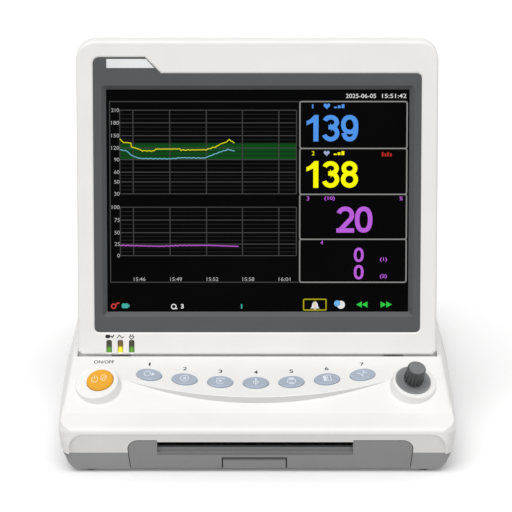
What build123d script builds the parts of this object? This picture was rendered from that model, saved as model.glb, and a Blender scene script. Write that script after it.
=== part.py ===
from build123d import *
import math
import os

# Base housing, overall
base_side = 14.3
rear_margin = 12.8
wall = 2.5
foot_height = 3.0
knee_height = 9.0
seam_height = 19.0
flank_height = 28.0
brim_height = 38.0
loft_top_height = 82.0
overrun = 1.0

# Base housing, how far its sides stand in at each height and towards its ends
bottom_inset = 12.5
knee_inset = 7.3
seam_inset = 3.0
flank_inset = 1.0
top_inset = 11.8
rear_taper = 13.0
front_taper = 0.5
belly_run = 45.0
front_corner_radius = 12.0
rear_corner_radius = 22.0

# Side profile of the cover, from the brim up to the deck
brim_corner_height = 41.4
brim_radius = 4.5
crease_run = 18.5
crease_height = 48.0
apron_slope = 31.3
strip_slope = 17.0
strip_run = 77.2
strip_height = 74.6
deck_height = 71.7
deck_run = 34.0
top_edge_radius = 4.0

# Leaning front face below the brim
front_lean = 15.0
lip_height = 36.8
lip_run = 0.4
recess_inset = 9.0
recess_corner_radius = 11.5

# Curved tongue that carries the keys
tongue_inset = 55.0
tongue_run = 28.2
tongue_draft_run = 1.4

# Round bosses of the power button and the control knob
button_inset = 33.3
knob_inset = 34.5
button_boss_offset = 3.1
knob_boss_offset = 1.6
boss_run = 40.0
boss_height = 67.7
boss_slope = 26.0
boss_roll = 11.3
boss_radius = 17.9
boss_taper = 8.0
boss_reach = 20.0
boss_edge_radius = 1.5
boss_roof = 4.5
boss_cavity_radius = 14.6
boss_cavity_depth = 18.0
boss_sleeve_wall = 2.0

# Display housing
panel_side = 13.5
panel_top = 11.1
panel_depth = 26.0
panel_lean = 8.8
panel_gap = 0.8
panel_corner_radius = 15.5
panel_foot_chamfer = 3.0
panel_wall = 2.4
frame_depth = 10.0
frame_edge_radius = 2.4
cover_edge_radius = 7.0

# Hinge between the base and the display
hinge_rise = 9.0
hinge_depth = 17.0
hinge_pin_radius = 4.0
hinge_running_gap = 0.05
hinge_knuckle_radius = 7.0
hinge_knuckle_width = 16.0
hinge_inset = 34.7
hinge_swing_gap = 0.8
hinge_side_gap = 0.3
hinge_ear = 3.0
hinge_ear_reach = 22.0
hinge_foot_length = 26.0
hinge_foot_thickness = 3.0
hinge_foot_height = 46.0
trough_radius = 20.0
trough_side_gap = 0.8

# Screen
screen_width = 246.2
screen_height = 184.4
screen_shift = 0.4
screen_set_back = 4.2
bezel_side = 10.1
bezel_top = 13.3
bezel_foot = 16.7
bezel_rise = 20.2
bezel_radius = 4.0
bezel_set_back = 0.6
bezel_bevel = 3.6
bezel_gap = 0.2
notch_left_inset = 4.4
notch_top_width = 39.2
notch_slant = 13.1
notch_height = 14.3
lamp_left_inset = 10.9
lamp_bottom_width = 38.8
lamp_top_width = 32.0
lamp_height = 7.3
lamp_rise = 3.3
lamp_depth = 7.0
lcd_border = 7.0
lcd_thickness = 7.0
window_thickness = 1.1
board_thickness = 1.6

# Indicator windows at the foot of the display
indicator_width = 4.3
indicator_height = 11.6
indicator_pitch = 9.25
indicator_rise = 1.1
indicator_inset = 25.3
indicator_count = 3
indicator_depth = 5.0

# Keys on the strip
key_count = 7
key_length = 20.9
key_breadth = 13.9
key_proud = 1.8
key_edge = 0.7
key_gap = 0.3
key_flange = 1.2
key_flange_thickness = 1.0
key_travel = 1.0
key_row_inset = 74.0
key_row_shift = -1.2
key_row_run = 43.0
key_row_sag = 10.0
key_stem_radius = 2.5
key_board_drop = 9.0
key_board_margin = 16.0
key_board_breadth = 34.0
dome_radius = 3.5
dome_height = 1.0
dome_gap = 0.1
key_post_radius = 3.0
key_post_inset = 3.0

# Power button
button_radius = 11.0
button_proud = 1.9
button_edge = 0.8
button_gap = 0.3
button_flange = 1.8
button_travel = 1.5
switch_drop = 10.8
switch_side = 6.0
switch_height = 3.0
switch_board_gap = 0.2
button_stem_radius = 3.5

# Control knob
dish_radius = 14.6
dish_lip = 0.9
dish_sink = 2.4
dish_floor_radius = 9.2
knob_base_radius = 8.3
knob_top_radius = 7.4
knob_height = 13.6
knob_lift = 3.3
knob_flutes = 16
flute_radius = 0.8
knob_travel = 0.8
shaft_radius = 3.0
shaft_gap = 0.05
bush_radius = 4.5
rotor_radius = 6.0
rotor_thickness = 2.0
encoder_can = 14.0
encoder_can_depth = 8.0

# Paper drawer
drawer_left_margin = 24.3
drawer_right_margin = 49.1
drawer_top = 30.5
drawer_bottom = 3.6
drawer_side_taper = 3.0
drawer_corner_radius = 8.0
drawer_gap = 0.6
drawer_front_depth = 13.0
slot_centre = -1.8
slot_width = 158.4
slot_floor = 24.6
slot_ceiling = 29.3
tear_bar_floor = 19.2
tear_bar_set_back = 3.0
tray_wall = 2.8
tray_floor_thickness = 2.0
tray_floor_height = 7.0
tray_wall_top = 26.6
tray_side_inset = 2.0
tray_run = 34.0
tray_floor_run = 19.0
tray_front_wall_top = 14.0
tail_top = 16.0
tray_inner_depth = 92.0
tray_tail = 64.0
tongue_rail_width = 3.0
tongue_rail_thickness = 2.4
tongue_rail_height = 12.0
runner_width = 7.0
runner_height = 20.0
runner_gap = 0.3
runner_run = 37.0
runner_length = 165.0

# Drawer latch
latch_width = 51.6
latch_centre = -2.4
latch_bottom = 3.9
latch_top = 13.9
latch_gap = 0.3
latch_thickness = 5.0
latch_travel = 3.0

# Printer
platen_run = 24.0
platen_height = 20.4
platen_radius = 7.0
platen_end_gap = 0.3
platen_shaft_radius = 3.0
journal_gap = 0.05
gear_module = 0.8
platen_teeth = 24
idler_teeth = 30
pinion_teeth = 12
gear_width = 6.0
gear_margin = 11.8
gear_frame_gap = 2.0
gear_backlash = 0.36
gear_root_gap = 0.25
gear_hub_gap = 0.05
pinion_angle = 30.0
idler_stud_radius = 2.5
motor_shaft_radius = 2.0
motor_side = 34.0
motor_length = 20.0
motor_corner = 4.0
frame_sheet = 2.0
frame_margin = 11.2
frame_front_run = 32.0
frame_rear_run = 84.0
frame_top = 46.0
frame_bar_height = 38.0
frame_bar_rear_run = 62.0
frame_foot_width = 9.0
head_gap = 0.35
head_plate = 2.0
head_inset = 2.2
head_front_run = 20.0
head_rear_run = 44.0
sink_thickness = 5.0
sink_fin = 2.0
sink_fin_count = 8

# Chassis details
foot_radius = 8.0
foot_inset = 26.0
foot_front_run = 22.0
foot_rear_run = 28.0
foot_rear_inset = 41.0
foot_sink = 0.8
post_radius = 4.0
cover_post_inset = 29.0
cover_post_run = 125.0
cover_post_pitch = 80.0
cover_post_rear_run = 32.0
mount_spacing = 75.0
mount_hole_radius = 2.1
mount_boss_radius = 5.0
mount_boss_height = 9.0
mount_x = 20.0
mount_rear_run = 90.0
tower_length = 30.0
tower_width = 18.0

# Battery
battery_length = 84.0
battery_width = 62.0
battery_thickness = 22.0
battery_inset = 75.0
battery_rear_run = 90.0
battery_gap = 0.3
bay_wall = 2.0
door_border = 5.0
door_gap = 0.35

# Electronics in the base
board_length = 156.0
board_breadth = 120.0
board_inset = 117.0
board_rear_run = 85.0
board_height = 40.0
board_post_radius = 3.5
board_post_inset = 7.0
supply_length = 84.0
supply_breadth = 66.0
supply_inset = 66.0
supply_rear_run = 75.0
supply_height = 12.0
supply_part_height = 22.0

# Speaker behind the grille in the right side
speaker_radius = 22.0
speaker_depth = 14.0
speaker_run = 165.0
speaker_height = 42.0
grille_slot = 2.2
grille_slot_length = 26.0
grille_count = 6
grille_pitch = 5.0

# Transducer sockets in the left side
socket_count = 4
socket_pitch = 26.0
socket_run = 190.0
socket_height = 40.0
socket_plate_inset = 13.0
socket_plate_thickness = 2.5
socket_plate_height = 28.0
socket_plate_margin = 17.0
socket_plate_gap = 0.25
socket_radius = 10.0
socket_barrel_radius = 7.6
socket_bore_radius = 6.5
socket_proud = 2.6
socket_depth = 15.0
socket_bore_depth = 12.0

# Rear connectors
inlet_inset = 57.0
inlet_height = 30.0
inlet_width = 27.6
inlet_tall = 19.6
inlet_cavity_wall = 1.8
inlet_cavity_depth = 16.0
inlet_depth = 20.0
inlet_blade_width = 2.0
inlet_blade_tall = 4.0
inlet_blade_pitch = 7.0
inlet_blade_length = 12.0
data_inset = 109.0
data_height = 30.0
data_width = 16.0
data_tall = 14.0
data_depth = 16.0
data_wall = 1.8
earth_radius = 3.0
earth_length = 12.0
vent_count = 12
vent_slot = 2.4
vent_length = 20.0
vent_pitch = 6.0
vent_inset = 91.0
vent_height = 45.0
display_board_width = 180.0
display_board_height = 120.0
main_part_height = 10.0

# Shares of a gear tooth's width
tooth_flare_share = 0.42
tooth_tip_share = 0.42

# Components on the boards: centre and size as shares of the board, then height
main_part_shares = [
    (0.30, 0.45, 0.20, 0.26, 0.3),
    (0.58, 0.40, 0.14, 0.18, 0.2),
    (0.82, 0.25, 0.10, 0.30, 1.0),
    (0.50, 0.90, 0.40, 0.08, 0.9),
    (0.75, 0.68, 0.16, 0.14, 0.6),
]
supply_part_shares = [
    (0.30, 0.35, 0.34, 0.42, 1.0),
    (0.72, 0.30, 0.22, 0.30, 0.9),
    (0.75, 0.72, 0.16, 0.22, 1.0),
    (0.25, 0.80, 0.30, 0.12, 0.6),
]
display_part_shares = [
    (-0.40, 0.10, 0.22, 0.30),
    (0.35, 0.30, 0.20, 0.20),
    (0.45, -0.45, 0.30, 0.16),
    (-0.35, -0.62, 0.24, 0.12),
]
connector_gap = 0.25

# Sizes and places that follow: the screen sets the display, and the display sets the base
bezel_width = screen_width + 2 * bezel_side
bezel_height = screen_height + bezel_top + bezel_foot
screen_rise = bezel_rise + bezel_foot
panel_width = bezel_width + 2 * panel_side
panel_height = bezel_rise + bezel_height + notch_height + panel_top
base_width = panel_width + 2 * base_side
base_depth = strip_run + panel_height + rear_margin
brim_half = base_width / 2
front_y = -base_depth / 2
rear_y = base_depth / 2
tongue_half = brim_half - tongue_inset
key_spread = brim_half - key_row_inset
key_board_width = 2 * (key_spread + key_board_margin)
hinge_x = panel_width / 2 - hinge_inset
indicator_x = indicator_inset - panel_width / 2
socket_plate_x = socket_plate_inset - brim_half
inlet_x = brim_half - inlet_inset
data_x = brim_half - data_inset
earth_x = (inlet_x + data_x) / 2
battery_x = battery_inset - brim_half
battery_y = rear_y - battery_rear_run
board_x = brim_half - board_inset
board_y = rear_y - board_rear_run
supply_x = brim_half - supply_inset
supply_y = rear_y - supply_rear_run
mount_y = rear_y - mount_rear_run
speaker_y = front_y + speaker_run
tray_inner_width = slot_width - 2 * tray_side_inset
tray_left = slot_centre - tray_inner_width / 2 - tray_wall
tray_right = slot_centre + tray_inner_width / 2 + tray_wall
gear_side_x = tray_right + gear_margin
frame_left_x = tray_left - frame_margin
frame_right_x = gear_side_x + gear_width + gear_frame_gap
ridge_y = front_y + strip_run
floor_top = foot_height + wall
panel_foot_height = strip_height + panel_gap
lean_sine = math.sin(math.radians(panel_lean))
lean_cosine = math.cos(math.radians(panel_lean))
hinge_y = ridge_y + hinge_rise * lean_sine + hinge_depth * lean_cosine
hinge_z = panel_foot_height + hinge_rise * lean_cosine - hinge_depth * lean_sine


def tangent(angle):
    return math.tan(math.radians(angle))


def block(x_span, y_span, z_span):
    """A box between three pairs of limits."""
    middle = [(low + high) / 2 for low, high in (x_span, y_span, z_span)]
    sides = [high - low for low, high in (x_span, y_span, z_span)]
    return Pos(*middle) * Box(*sides)


def bar_x(x_span, y, z, radius):
    return Pos((x_span[0] + x_span[1]) / 2, y, z) * Rot(Y=90) * Cylinder(radius, x_span[1] - x_span[0])


def bar_y(x, y_span, z, radius):
    return Pos(x, (y_span[0] + y_span[1]) / 2, z) * Rot(X=90) * Cylinder(radius, y_span[1] - y_span[0])


def bar_z(x, y, z_span, radius):
    return Pos(x, y, (z_span[0] + z_span[1]) / 2) * Cylinder(radius, z_span[1] - z_span[0])


def prism_x(points, x_span):
    """A prism along X over a polygon of (y, z) points."""
    outline = Polyline(*[(x_span[0], y, z) for y, z in points], close=True)
    return extrude(make_face(outline.edges()), amount=x_span[1] - x_span[0], dir=(1, 0, 0))


def prism_y(points, y_span):
    """A prism along Y over a polygon of (x, z) points."""
    outline = Polyline(*[(x, y_span[0], z) for x, z in points], close=True)
    return extrude(make_face(outline.edges()), amount=y_span[1] - y_span[0], dir=(0, 1, 0))


def around(centre, half):
    return (centre - half, centre + half)


# Surfaces of the base that other pieces follow

def strip_z(y):
    """Height of the key strip's plane."""
    return strip_height - tangent(strip_slope) * (ridge_y - y)


def apron_z(y):
    """Height of the apron below the strip."""
    return crease_height + tangent(apron_slope) * (y - front_y - crease_run)


def front_face_y(z):
    """Y of the leaning front face, shared by the cover, the chassis and the drawer."""
    return front_y + lip_run + tangent(front_lean) * (lip_height - z)


def shoulder_y():
    """Where the apron runs into the strip at the two ends of the tongue."""
    rise = strip_z(front_y + crease_run) - crease_height
    return front_y + crease_run + rise / (tangent(apron_slope) - tangent(strip_slope))


def strip_place(x, y, turn=0.0):
    """A place on the key strip, with Z square to its surface."""
    return Pos(x, y, strip_z(y)) * Rot(X=strip_slope) * Rot(Z=turn)


def boss_place(side):
    """The axis of the power button on the left or of the knob on the right, at the boss's top face."""
    x = button_inset - brim_half if side < 0 else brim_half - knob_inset
    return Pos(x, front_y + boss_run, boss_height) * Rot(Y=side * boss_roll) * Rot(X=boss_slope)


def display_place():
    """The display is drawn upright with its front face at Y zero, and then leans back."""
    return Pos(0, ridge_y, panel_foot_height) * Rot(X=-panel_lean)


# Base housing

def plan_outline(half, z, inset):
    """The housing's plan at one height, with sides that swell a little towards the front."""
    rear_half = half - rear_taper
    front_half = half - front_taper
    left_front = (-front_half + inset, front_y + inset)
    left_belly = (-half + inset, front_y + belly_run)
    left_rear = (-rear_half + inset, rear_y - inset)
    right_rear = (rear_half - inset, rear_y - inset)
    right_belly = (half - inset, front_y + belly_run)
    right_front = (front_half - inset, front_y + inset)
    edges = [
        Line(right_rear, left_rear),
        ThreePointArc(left_rear, left_belly, left_front),
        Line(left_front, right_front),
        ThreePointArc(right_front, right_belly, right_rear),
    ]
    outline = make_face(edges)
    outline = fillet(outline.vertices().sort_by(Axis.Y)[:2], front_corner_radius - inset)
    outline = fillet(outline.vertices().sort_by(Axis.Y)[-2:], rear_corner_radius - inset)
    return Pos(Z=z) * outline


def cover_profile(inset):
    """Side view of the cover: brim, ledge, apron, key strip, ridge and deck."""
    low = seam_height - overrun - inset
    join_y = shoulder_y()
    points = [
        (front_y - overrun, low),
        (front_y - overrun, brim_height),
        (front_y, brim_height),
        (front_y, brim_corner_height),
        (front_y + crease_run, crease_height),
        (join_y, strip_z(join_y)),
        (ridge_y, strip_height),
        (ridge_y + deck_run, deck_height),
        (rear_y + overrun, deck_height),
        (rear_y + overrun, low),
    ]
    profile = make_face(Polyline(*points, close=True).edges())
    corners = profile.vertices()
    brim = corners.sort_by_distance((front_y, brim_corner_height))[0]
    profile = fillet(brim, brim_radius)
    if inset:
        profile = offset(profile, amount=-inset)
    side_view = Plane(origin=(0, 0, 0), x_dir=(0, 1, 0), z_dir=(1, 0, 0))
    return extrude(side_view * profile, amount=base_width, both=True)


def upper_body(inset):
    """The closed body of the upper half, or its cavity when it is inset by the wall."""
    sections = [
        plan_outline(brim_half - seam_inset, seam_height - (overrun if inset else 0), inset),
        plan_outline(brim_half - flank_inset, flank_height, inset),
        plan_outline(brim_half, brim_height, inset),
        plan_outline(brim_half - top_inset, loft_top_height, inset),
    ]
    hull = loft(sections, ruled=True)
    above = hull - cover_profile(inset)
    body = hull - above
    if inset:
        return body
    return fillet([edge for edge in body.edges() if is_top_rim(edge)], top_edge_radius)


def is_top_rim(edge):
    """Edges round the apron, the strip and the deck, but not the bends that run across them."""
    middle = edge.center()
    behind_ledge = middle.Y > front_y + crease_run
    outer = abs(middle.X) > tongue_half or middle.Y > rear_y - overrun
    return behind_ledge and outer and middle.Z > cover_top_z(middle.Y) - overrun


def cover_top_z(y):
    """Height of the cover's top behind the ledge."""
    if y > ridge_y:
        return max(deck_height, strip_height - (y - ridge_y) * (strip_height - deck_height) / deck_run)
    return min(strip_z(y), apron_z(y))


def tongue(inset):
    """The raised key strip, bounded in front by an arc, or its hollow when it is inset by the wall."""
    back_y = shoulder_y()
    middle_y = front_y + tongue_run + inset
    top = strip_height + overrun
    foot = crease_height - wall
    faces = []
    for height, grow in ((top, 0), (foot, tongue_draft_run)):
        half = tongue_half - 3 * inset + grow
        arc = ThreePointArc((-half, back_y), (0, middle_y - grow), (half, back_y))
        chord = Line((half, back_y), (-half, back_y))
        faces.append(Pos(Z=height) * make_face([arc, chord]))
    return loft(faces) & under_strip(inset)


def under_strip(inset):
    """Everything between the strip's plane and a little below the apron's skin."""
    low_y = front_y + crease_run
    drop = inset / math.cos(math.radians(strip_slope))
    skin = wall / 2 + 2 * inset
    points = [
        (low_y, strip_z(low_y) - drop),
        (ridge_y, strip_z(ridge_y) - drop),
        (ridge_y, apron_z(ridge_y) - skin),
        (low_y, apron_z(low_y) - skin),
    ]
    return prism_x(points, (-base_width / 2, base_width / 2))


def boss(side):
    """A round boss, wider at its foot, that stands square to its own top face."""
    foot_radius = boss_radius + tangent(boss_taper) * boss_reach
    shape = Pos(Z=-boss_reach / 2) * Cone(foot_radius, boss_radius, boss_reach)
    shape = fillet(shape.edges().sort_by(Axis.Z)[-1], boss_edge_radius)
    offset_x = -button_boss_offset if side < 0 else knob_boss_offset
    return boss_place(side) * Pos(X=offset_x) * shape


def boss_column(side, radius, length):
    """A round column that hangs from a boss's roof."""
    return boss_place(side) * Pos(Z=-boss_roof - length / 2) * Cylinder(radius, length)


def boss_sleeve(side):
    """The moulded sleeve under a boss, which holds the switch or the encoder."""
    length = switch_drop + switch_height + board_thickness - boss_roof
    return boss_column(side, boss_cavity_radius + boss_sleeve_wall, length)


def recess_outline():
    """Outline of the leaning front face, with round upper corners."""
    low = seam_height - overrun
    height = lip_height - low
    outline = Pos(0, (lip_height + low) / 2) * Rectangle(base_width - 2 * recess_inset, height)
    upper = outline.vertices().sort_by(Axis.Y)[-2:]
    return fillet(upper, recess_corner_radius)


def front_space(low, high):
    """The space in front of the leaning face between two heights."""
    points = [
        (front_y - overrun, low),
        (front_face_y(low), low),
        (front_face_y(high), high),
        (front_y - overrun, high),
    ]
    return prism_x(points, (-base_width / 2, base_width / 2))


def front_recess():
    front_view = Plane(origin=(0, front_y - overrun, 0), x_dir=(1, 0, 0), z_dir=(0, -1, 0))
    tool = extrude(front_view * recess_outline(), amount=-drawer_front_depth)
    return tool & front_space(seam_height - overrun, lip_height + overrun)


def hinge_axis_bar(radius, x_span):
    return bar_x(x_span, hinge_y, hinge_z, radius)


def key_layout():
    """X, Y and turn of each key, on an arc that follows the tongue."""
    arc_radius = (key_spread ** 2 + key_row_sag ** 2) / (2 * key_row_sag)
    places = []
    for index in range(key_count):
        x = key_spread * (2 * index / (key_count - 1) - 1)
        turn = math.degrees(math.asin(x / arc_radius))
        y = front_y + key_row_run + arc_radius - math.sqrt(arc_radius ** 2 - x ** 2)
        places.append((key_row_shift + x, y, turn))
    return places


def key_column(grow, low, high):
    """An upright elliptical column in the strip's own frame."""
    outline = Ellipse(key_length / 2 + grow, key_breadth / 2 + grow)
    return Pos(Z=low) * extrude(outline, amount=high - low)


def drawer_outline(grow):
    """Front view of the drawer: it narrows downwards and has round upper corners."""
    taper = drawer_side_taper
    left = slot_centre - slot_width / 2 - drawer_left_margin
    right = slot_centre + slot_width / 2 + drawer_right_margin
    points = [
        (left - grow, drawer_top + grow),
        (left + taper - grow, drawer_bottom - grow),
        (right - taper + grow, drawer_bottom - grow),
        (right + grow, drawer_top + grow),
    ]
    outline = make_face(Polyline(*points, close=True).edges())
    return fillet(outline.vertices().sort_by(Axis.Y)[-2:], drawer_corner_radius + grow)


def drawer_block(grow, depth):
    """The drawer front's outline carried back into the base."""
    front_view = Plane(origin=(0, front_y - overrun, 0), x_dir=(1, 0, 0), z_dir=(0, -1, 0))
    return extrude(front_view * drawer_outline(grow), amount=-depth - overrun)


def socket_places():
    """Y of each transducer socket."""
    return [front_y + socket_run + socket_pitch * index for index in range(socket_count)]


def socket_plate_span(grow):
    places = socket_places()
    return (places[0] - socket_plate_margin - grow, places[-1] + socket_plate_margin + grow)


def side_pocket():
    """The flat recess in the left side for the socket plate, with one window for all the barrels."""
    x_span = (-base_width / 2 - overrun, socket_plate_x + socket_plate_thickness)
    z_span = around(socket_height, socket_plate_height / 2 + socket_plate_gap)
    pocket = block(x_span, socket_plate_span(socket_plate_gap), z_span)
    places = socket_places()
    reach = socket_barrel_radius + socket_plate_gap
    window_y = (places[0] - reach, places[-1] + reach)
    window_x = (socket_plate_x, socket_plate_x + 3 * wall)
    return pocket + block(window_x, window_y, around(socket_height, reach))


def side_pocket_wall():
    """The wall that closes the socket recess on the inside."""
    x_low = socket_plate_x + socket_plate_thickness
    span = socket_plate_span(socket_plate_gap + wall)
    z_span = around(socket_height, socket_plate_height / 2 + socket_plate_gap + wall)
    return block((-base_width / 2, x_low + wall), span, z_span)


def rear_cuts():
    """Openings in the rear wall for the mains inlet, the data socket, the earth stud and the vents."""
    y_span = (rear_y - 2 * wall, rear_y + overrun)
    inlet_x_span = around(inlet_x, inlet_width / 2 + connector_gap)
    inlet_z_span = around(inlet_height, inlet_tall / 2 + connector_gap)
    cuts = block(inlet_x_span, y_span, inlet_z_span)
    data_x_span = around(data_x, data_width / 2 + connector_gap)
    data_z_span = around(data_height, data_tall / 2 + connector_gap)
    cuts += block(data_x_span, y_span, data_z_span)
    cuts += bar_y(earth_x, y_span, inlet_height, earth_radius + shaft_gap)
    for index in range(vent_count):
        x = vent_inset - brim_half + vent_pitch * index
        cuts += block(around(x, vent_slot / 2), y_span, around(vent_height, vent_length / 2))
    return cuts


def grille_cuts():
    """Slots in the right side, in front of the speaker."""
    cuts = None
    middle = (grille_count - 1) / 2
    for index in range(grille_count):
        y = speaker_y + grille_pitch * (index - middle)
        x_span = (base_width / 2 - 4 * wall, base_width / 2 + overrun)
        slot = block(x_span, around(y, grille_slot / 2), around(speaker_height, grille_slot_length / 2))
        cuts = slot if cuts is None else cuts + slot
    return cuts


def hinge_slots():
    """Slots in the trough that the two hinge posts come up through."""
    cuts = None
    half = hinge_knuckle_width / 2 + hinge_side_gap
    for side in (-1, 1):
        x_span = around(side * hinge_x, half)
        y_span = around(hinge_y, hinge_knuckle_radius + hinge_side_gap)
        slot = block(x_span, y_span, (hinge_foot_height, hinge_z))
        cuts = slot if cuts is None else cuts + slot
    return cuts


def slot_span(grow=0.0):
    return around(slot_centre, slot_width / 2 + grow)


def drawer_opening():
    """The opening in the front for the drawer, with the brow that hangs over the paper slot."""
    opening = drawer_block(drawer_gap, drawer_front_depth + drawer_gap)
    brow = block(slot_span(), (front_y - overrun, front_y + tray_run), (slot_ceiling, drawer_top + overrun))
    return opening - brow


def front_skin():
    """The solid skin behind the leaning front face."""
    return Pos(Y=wall) * front_space(foot_height - overrun, lip_height + wall)


def base_upper_cover():
    """The white moulded cover with its strip, tongue, bosses, trough and openings."""
    outer = upper_body(0) + tongue(0) + boss(-1) + boss(1)
    half_trough = panel_width / 2 + trough_side_gap
    cavity = upper_body(wall) + tongue(wall)
    cavity -= hinge_axis_bar(trough_radius + wall, (-half_trough - wall, half_trough + wall))
    cavity -= side_pocket_wall()
    cavity -= front_skin()
    cavity -= boss_sleeve(-1)
    cavity -= boss_sleeve(1)
    cover = outer - cavity
    cover -= hinge_axis_bar(trough_radius, (-half_trough, half_trough))
    cover -= side_pocket()
    cover -= front_recess()
    cover -= drawer_opening()
    cover -= boss_column(-1, boss_cavity_radius, boss_cavity_depth)
    cover -= boss_column(1, boss_cavity_radius, boss_cavity_depth)
    cover -= boss_place(-1) * Pos(Z=-boss_roof / 2) * Cylinder(button_radius + button_gap, 2 * boss_roof)
    cover -= boss_place(1) * Pos(Z=-boss_roof) * Cylinder(bush_radius + shaft_gap, 4 * boss_roof)
    cover -= boss_place(1) * Pos(Z=-dish_sink / 2) * Cylinder(dish_radius + shaft_gap, dish_sink)
    for x, y, turn in key_layout():
        cover -= strip_place(x, y, turn) * key_column(key_gap, -2 * wall, overrun)
    cover -= rear_cuts()
    cover -= grille_cuts()
    cover -= hinge_slots()
    for x, y in cover_post_places():
        cover += post_from_roof(x, y)
    return cover + key_board_posts()


def corner_signs():
    return [(x_side, y_side) for x_side in (-1, 1) for y_side in (-1, 1)]


def cover_post_places():
    middle = front_y + cover_post_run
    rows = (middle, middle + cover_post_pitch, rear_y - cover_post_rear_run)
    return [(side * (brim_half - cover_post_inset), y) for side in (-1, 1) for y in rows]


def post_from_roof(x, y):
    """A screw post that hangs from the cover's roof down to the seam."""
    post = bar_z(x, y, (seam_height, deck_height - wall / 2), post_radius)
    return post & upper_body(wall / 2)


def key_board_place():
    """The middle of the key row, on the strip's surface."""
    return strip_place(0, front_y + key_row_run + key_row_sag / 2)


def key_board_posts():
    """Short posts from the cover's underside to the corners of the key board."""
    inside = upper_body(wall / 2) + tongue(wall / 2)
    posts = []
    for x_side, y_side in corner_signs():
        x = x_side * (key_board_width / 2 - key_post_inset)
        y = y_side * (key_board_breadth / 2 - key_post_inset)
        post = bar_z(x, y, (-key_board_drop, -wall / 2), key_post_radius)
        posts.append((key_board_place() * post) & inside)
    return posts


def lower_body(inset):
    """The closed body below the seam, or its cavity when it is inset by the wall."""
    sections = [
        plan_outline(brim_half - bottom_inset, foot_height + inset, inset),
        plan_outline(brim_half - knee_inset, knee_height, inset),
        plan_outline(brim_half - seam_inset, seam_height + (overrun if inset else 0), inset),
    ]
    return loft(sections, ruled=True)


def base_lower_chassis():
    """The grey moulded tray: floor, leaning front, battery bay, posts, hinge towers and bosses."""
    chassis = lower_body(0)
    chassis -= front_space(foot_height - overrun, seam_height + overrun)
    cavity = lower_body(wall) - front_skin()
    chassis -= cavity
    for x, y in cover_post_places():
        chassis += bar_z(x, y, (floor_top, seam_height), post_radius)
    for side in (-1, 1):
        chassis += hinge_tower(side)
    for x, y in board_post_places():
        chassis += bar_z(x, y, (floor_top - wall / 2, board_height), board_post_radius)
    for x, y in supply_post_places():
        chassis += bar_z(x, y, (floor_top - wall / 2, supply_height), board_post_radius)
    for x_side, y_side in corner_signs():
        x = mount_x + x_side * mount_spacing / 2
        y = mount_y + y_side * mount_spacing / 2
        z_top = foot_height + mount_boss_height
        chassis += bar_z(x, y, (floor_top - wall / 2, z_top), mount_boss_radius)
        chassis -= bar_z(x, y, (foot_height - overrun, z_top - wall), mount_hole_radius)
    chassis += battery_bay()
    chassis -= battery_hollow()
    chassis -= drawer_block(drawer_gap, drawer_front_depth + drawer_gap)
    chassis -= latch_notch()
    for x, y in foot_places():
        chassis -= bar_z(x, y, (foot_height - overrun, foot_height + foot_sink), foot_radius)
    return chassis


def latch_notch():
    """The notch in the floor's front edge that the latch moves into."""
    x_span = around(latch_centre, latch_width / 2 + latch_gap)
    rear = front_face_y(latch_bottom) + latch_thickness + latch_travel + latch_gap
    return block(x_span, (front_y, rear), (foot_height - overrun, floor_top + overrun))


def hinge_tower(side):
    x_span = around(side * hinge_x, tower_length / 2)
    return block(x_span, around(hinge_y, tower_width / 2), (floor_top - wall / 2, hinge_foot_height))


def board_post_places():
    x_reach = board_length / 2 - board_post_inset
    y_reach = board_breadth / 2 - board_post_inset
    return [(board_x + x_side * x_reach, board_y + y_side * y_reach) for x_side, y_side in corner_signs()]


def supply_post_places():
    x_reach = supply_length / 2 - board_post_inset
    y_reach = supply_breadth / 2 - board_post_inset
    return [(supply_x + x_side * x_reach, supply_y + y_side * y_reach) for x_side, y_side in corner_signs()]


def foot_places():
    front = [(side * (brim_half - foot_inset), front_y + foot_front_run) for side in (-1, 1)]
    rear = [(side * (brim_half - foot_rear_inset), rear_y - foot_rear_run) for side in (-1, 1)]
    return front + rear


def battery_area(grow):
    x_span = around(battery_x, battery_length / 2 + grow)
    y_span = around(battery_y, battery_width / 2 + grow)
    return x_span, y_span


def battery_bay():
    x_span, y_span = battery_area(battery_gap + door_border + bay_wall)
    return block(x_span, y_span, (floor_top, floor_top + battery_thickness + battery_gap))


def battery_hollow():
    """The pack's space, and below it the wider hole in the floor that the door fills."""
    x_span, y_span = battery_area(battery_gap)
    hollow = block(x_span, y_span, (foot_height, floor_top + battery_thickness + overrun))
    x_span, y_span = battery_area(battery_gap + door_border)
    return hollow + block(x_span, y_span, (foot_height - overrun, floor_top))


def battery_pack():
    x_span, y_span = battery_area(0)
    pack = block(x_span, y_span, (floor_top, floor_top + battery_thickness))
    return fillet(pack.edges().filter_by(Axis.X), bay_wall)


def battery_door():
    x_span, y_span = battery_area(battery_gap + door_border - door_gap)
    door = block(x_span, y_span, (foot_height, floor_top))
    return fillet(door.edges().filter_by(Axis.Z), wall)


def feet():
    return Compound(children=[foot_pad(x, y) for x, y in foot_places()])


def foot_pad(x, y):
    pad = bar_z(x, y, (0, foot_height + foot_sink), foot_radius)
    return chamfer(pad.edges().sort_by(Axis.Z)[0], foot_sink)


# Hinge

def hinge_posts():
    """Steel posts on the towers, each with a knuckle that the display turns on."""
    posts = []
    for side in (-1, 1):
        x_span = around(side * hinge_x, hinge_knuckle_width / 2)
        foot_span = around(side * hinge_x, hinge_foot_length / 2)
        foot_top = hinge_foot_height + hinge_foot_thickness
        y_span = around(hinge_y, hinge_knuckle_radius)
        post = block(foot_span, y_span, (hinge_foot_height, foot_top))
        post += block(x_span, y_span, (hinge_foot_height, hinge_z))
        post += hinge_axis_bar(hinge_knuckle_radius, x_span)
        post -= hinge_axis_bar(hinge_pin_radius + hinge_running_gap, foot_span)
        posts.append(post)
    return Compound(children=posts)


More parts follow.
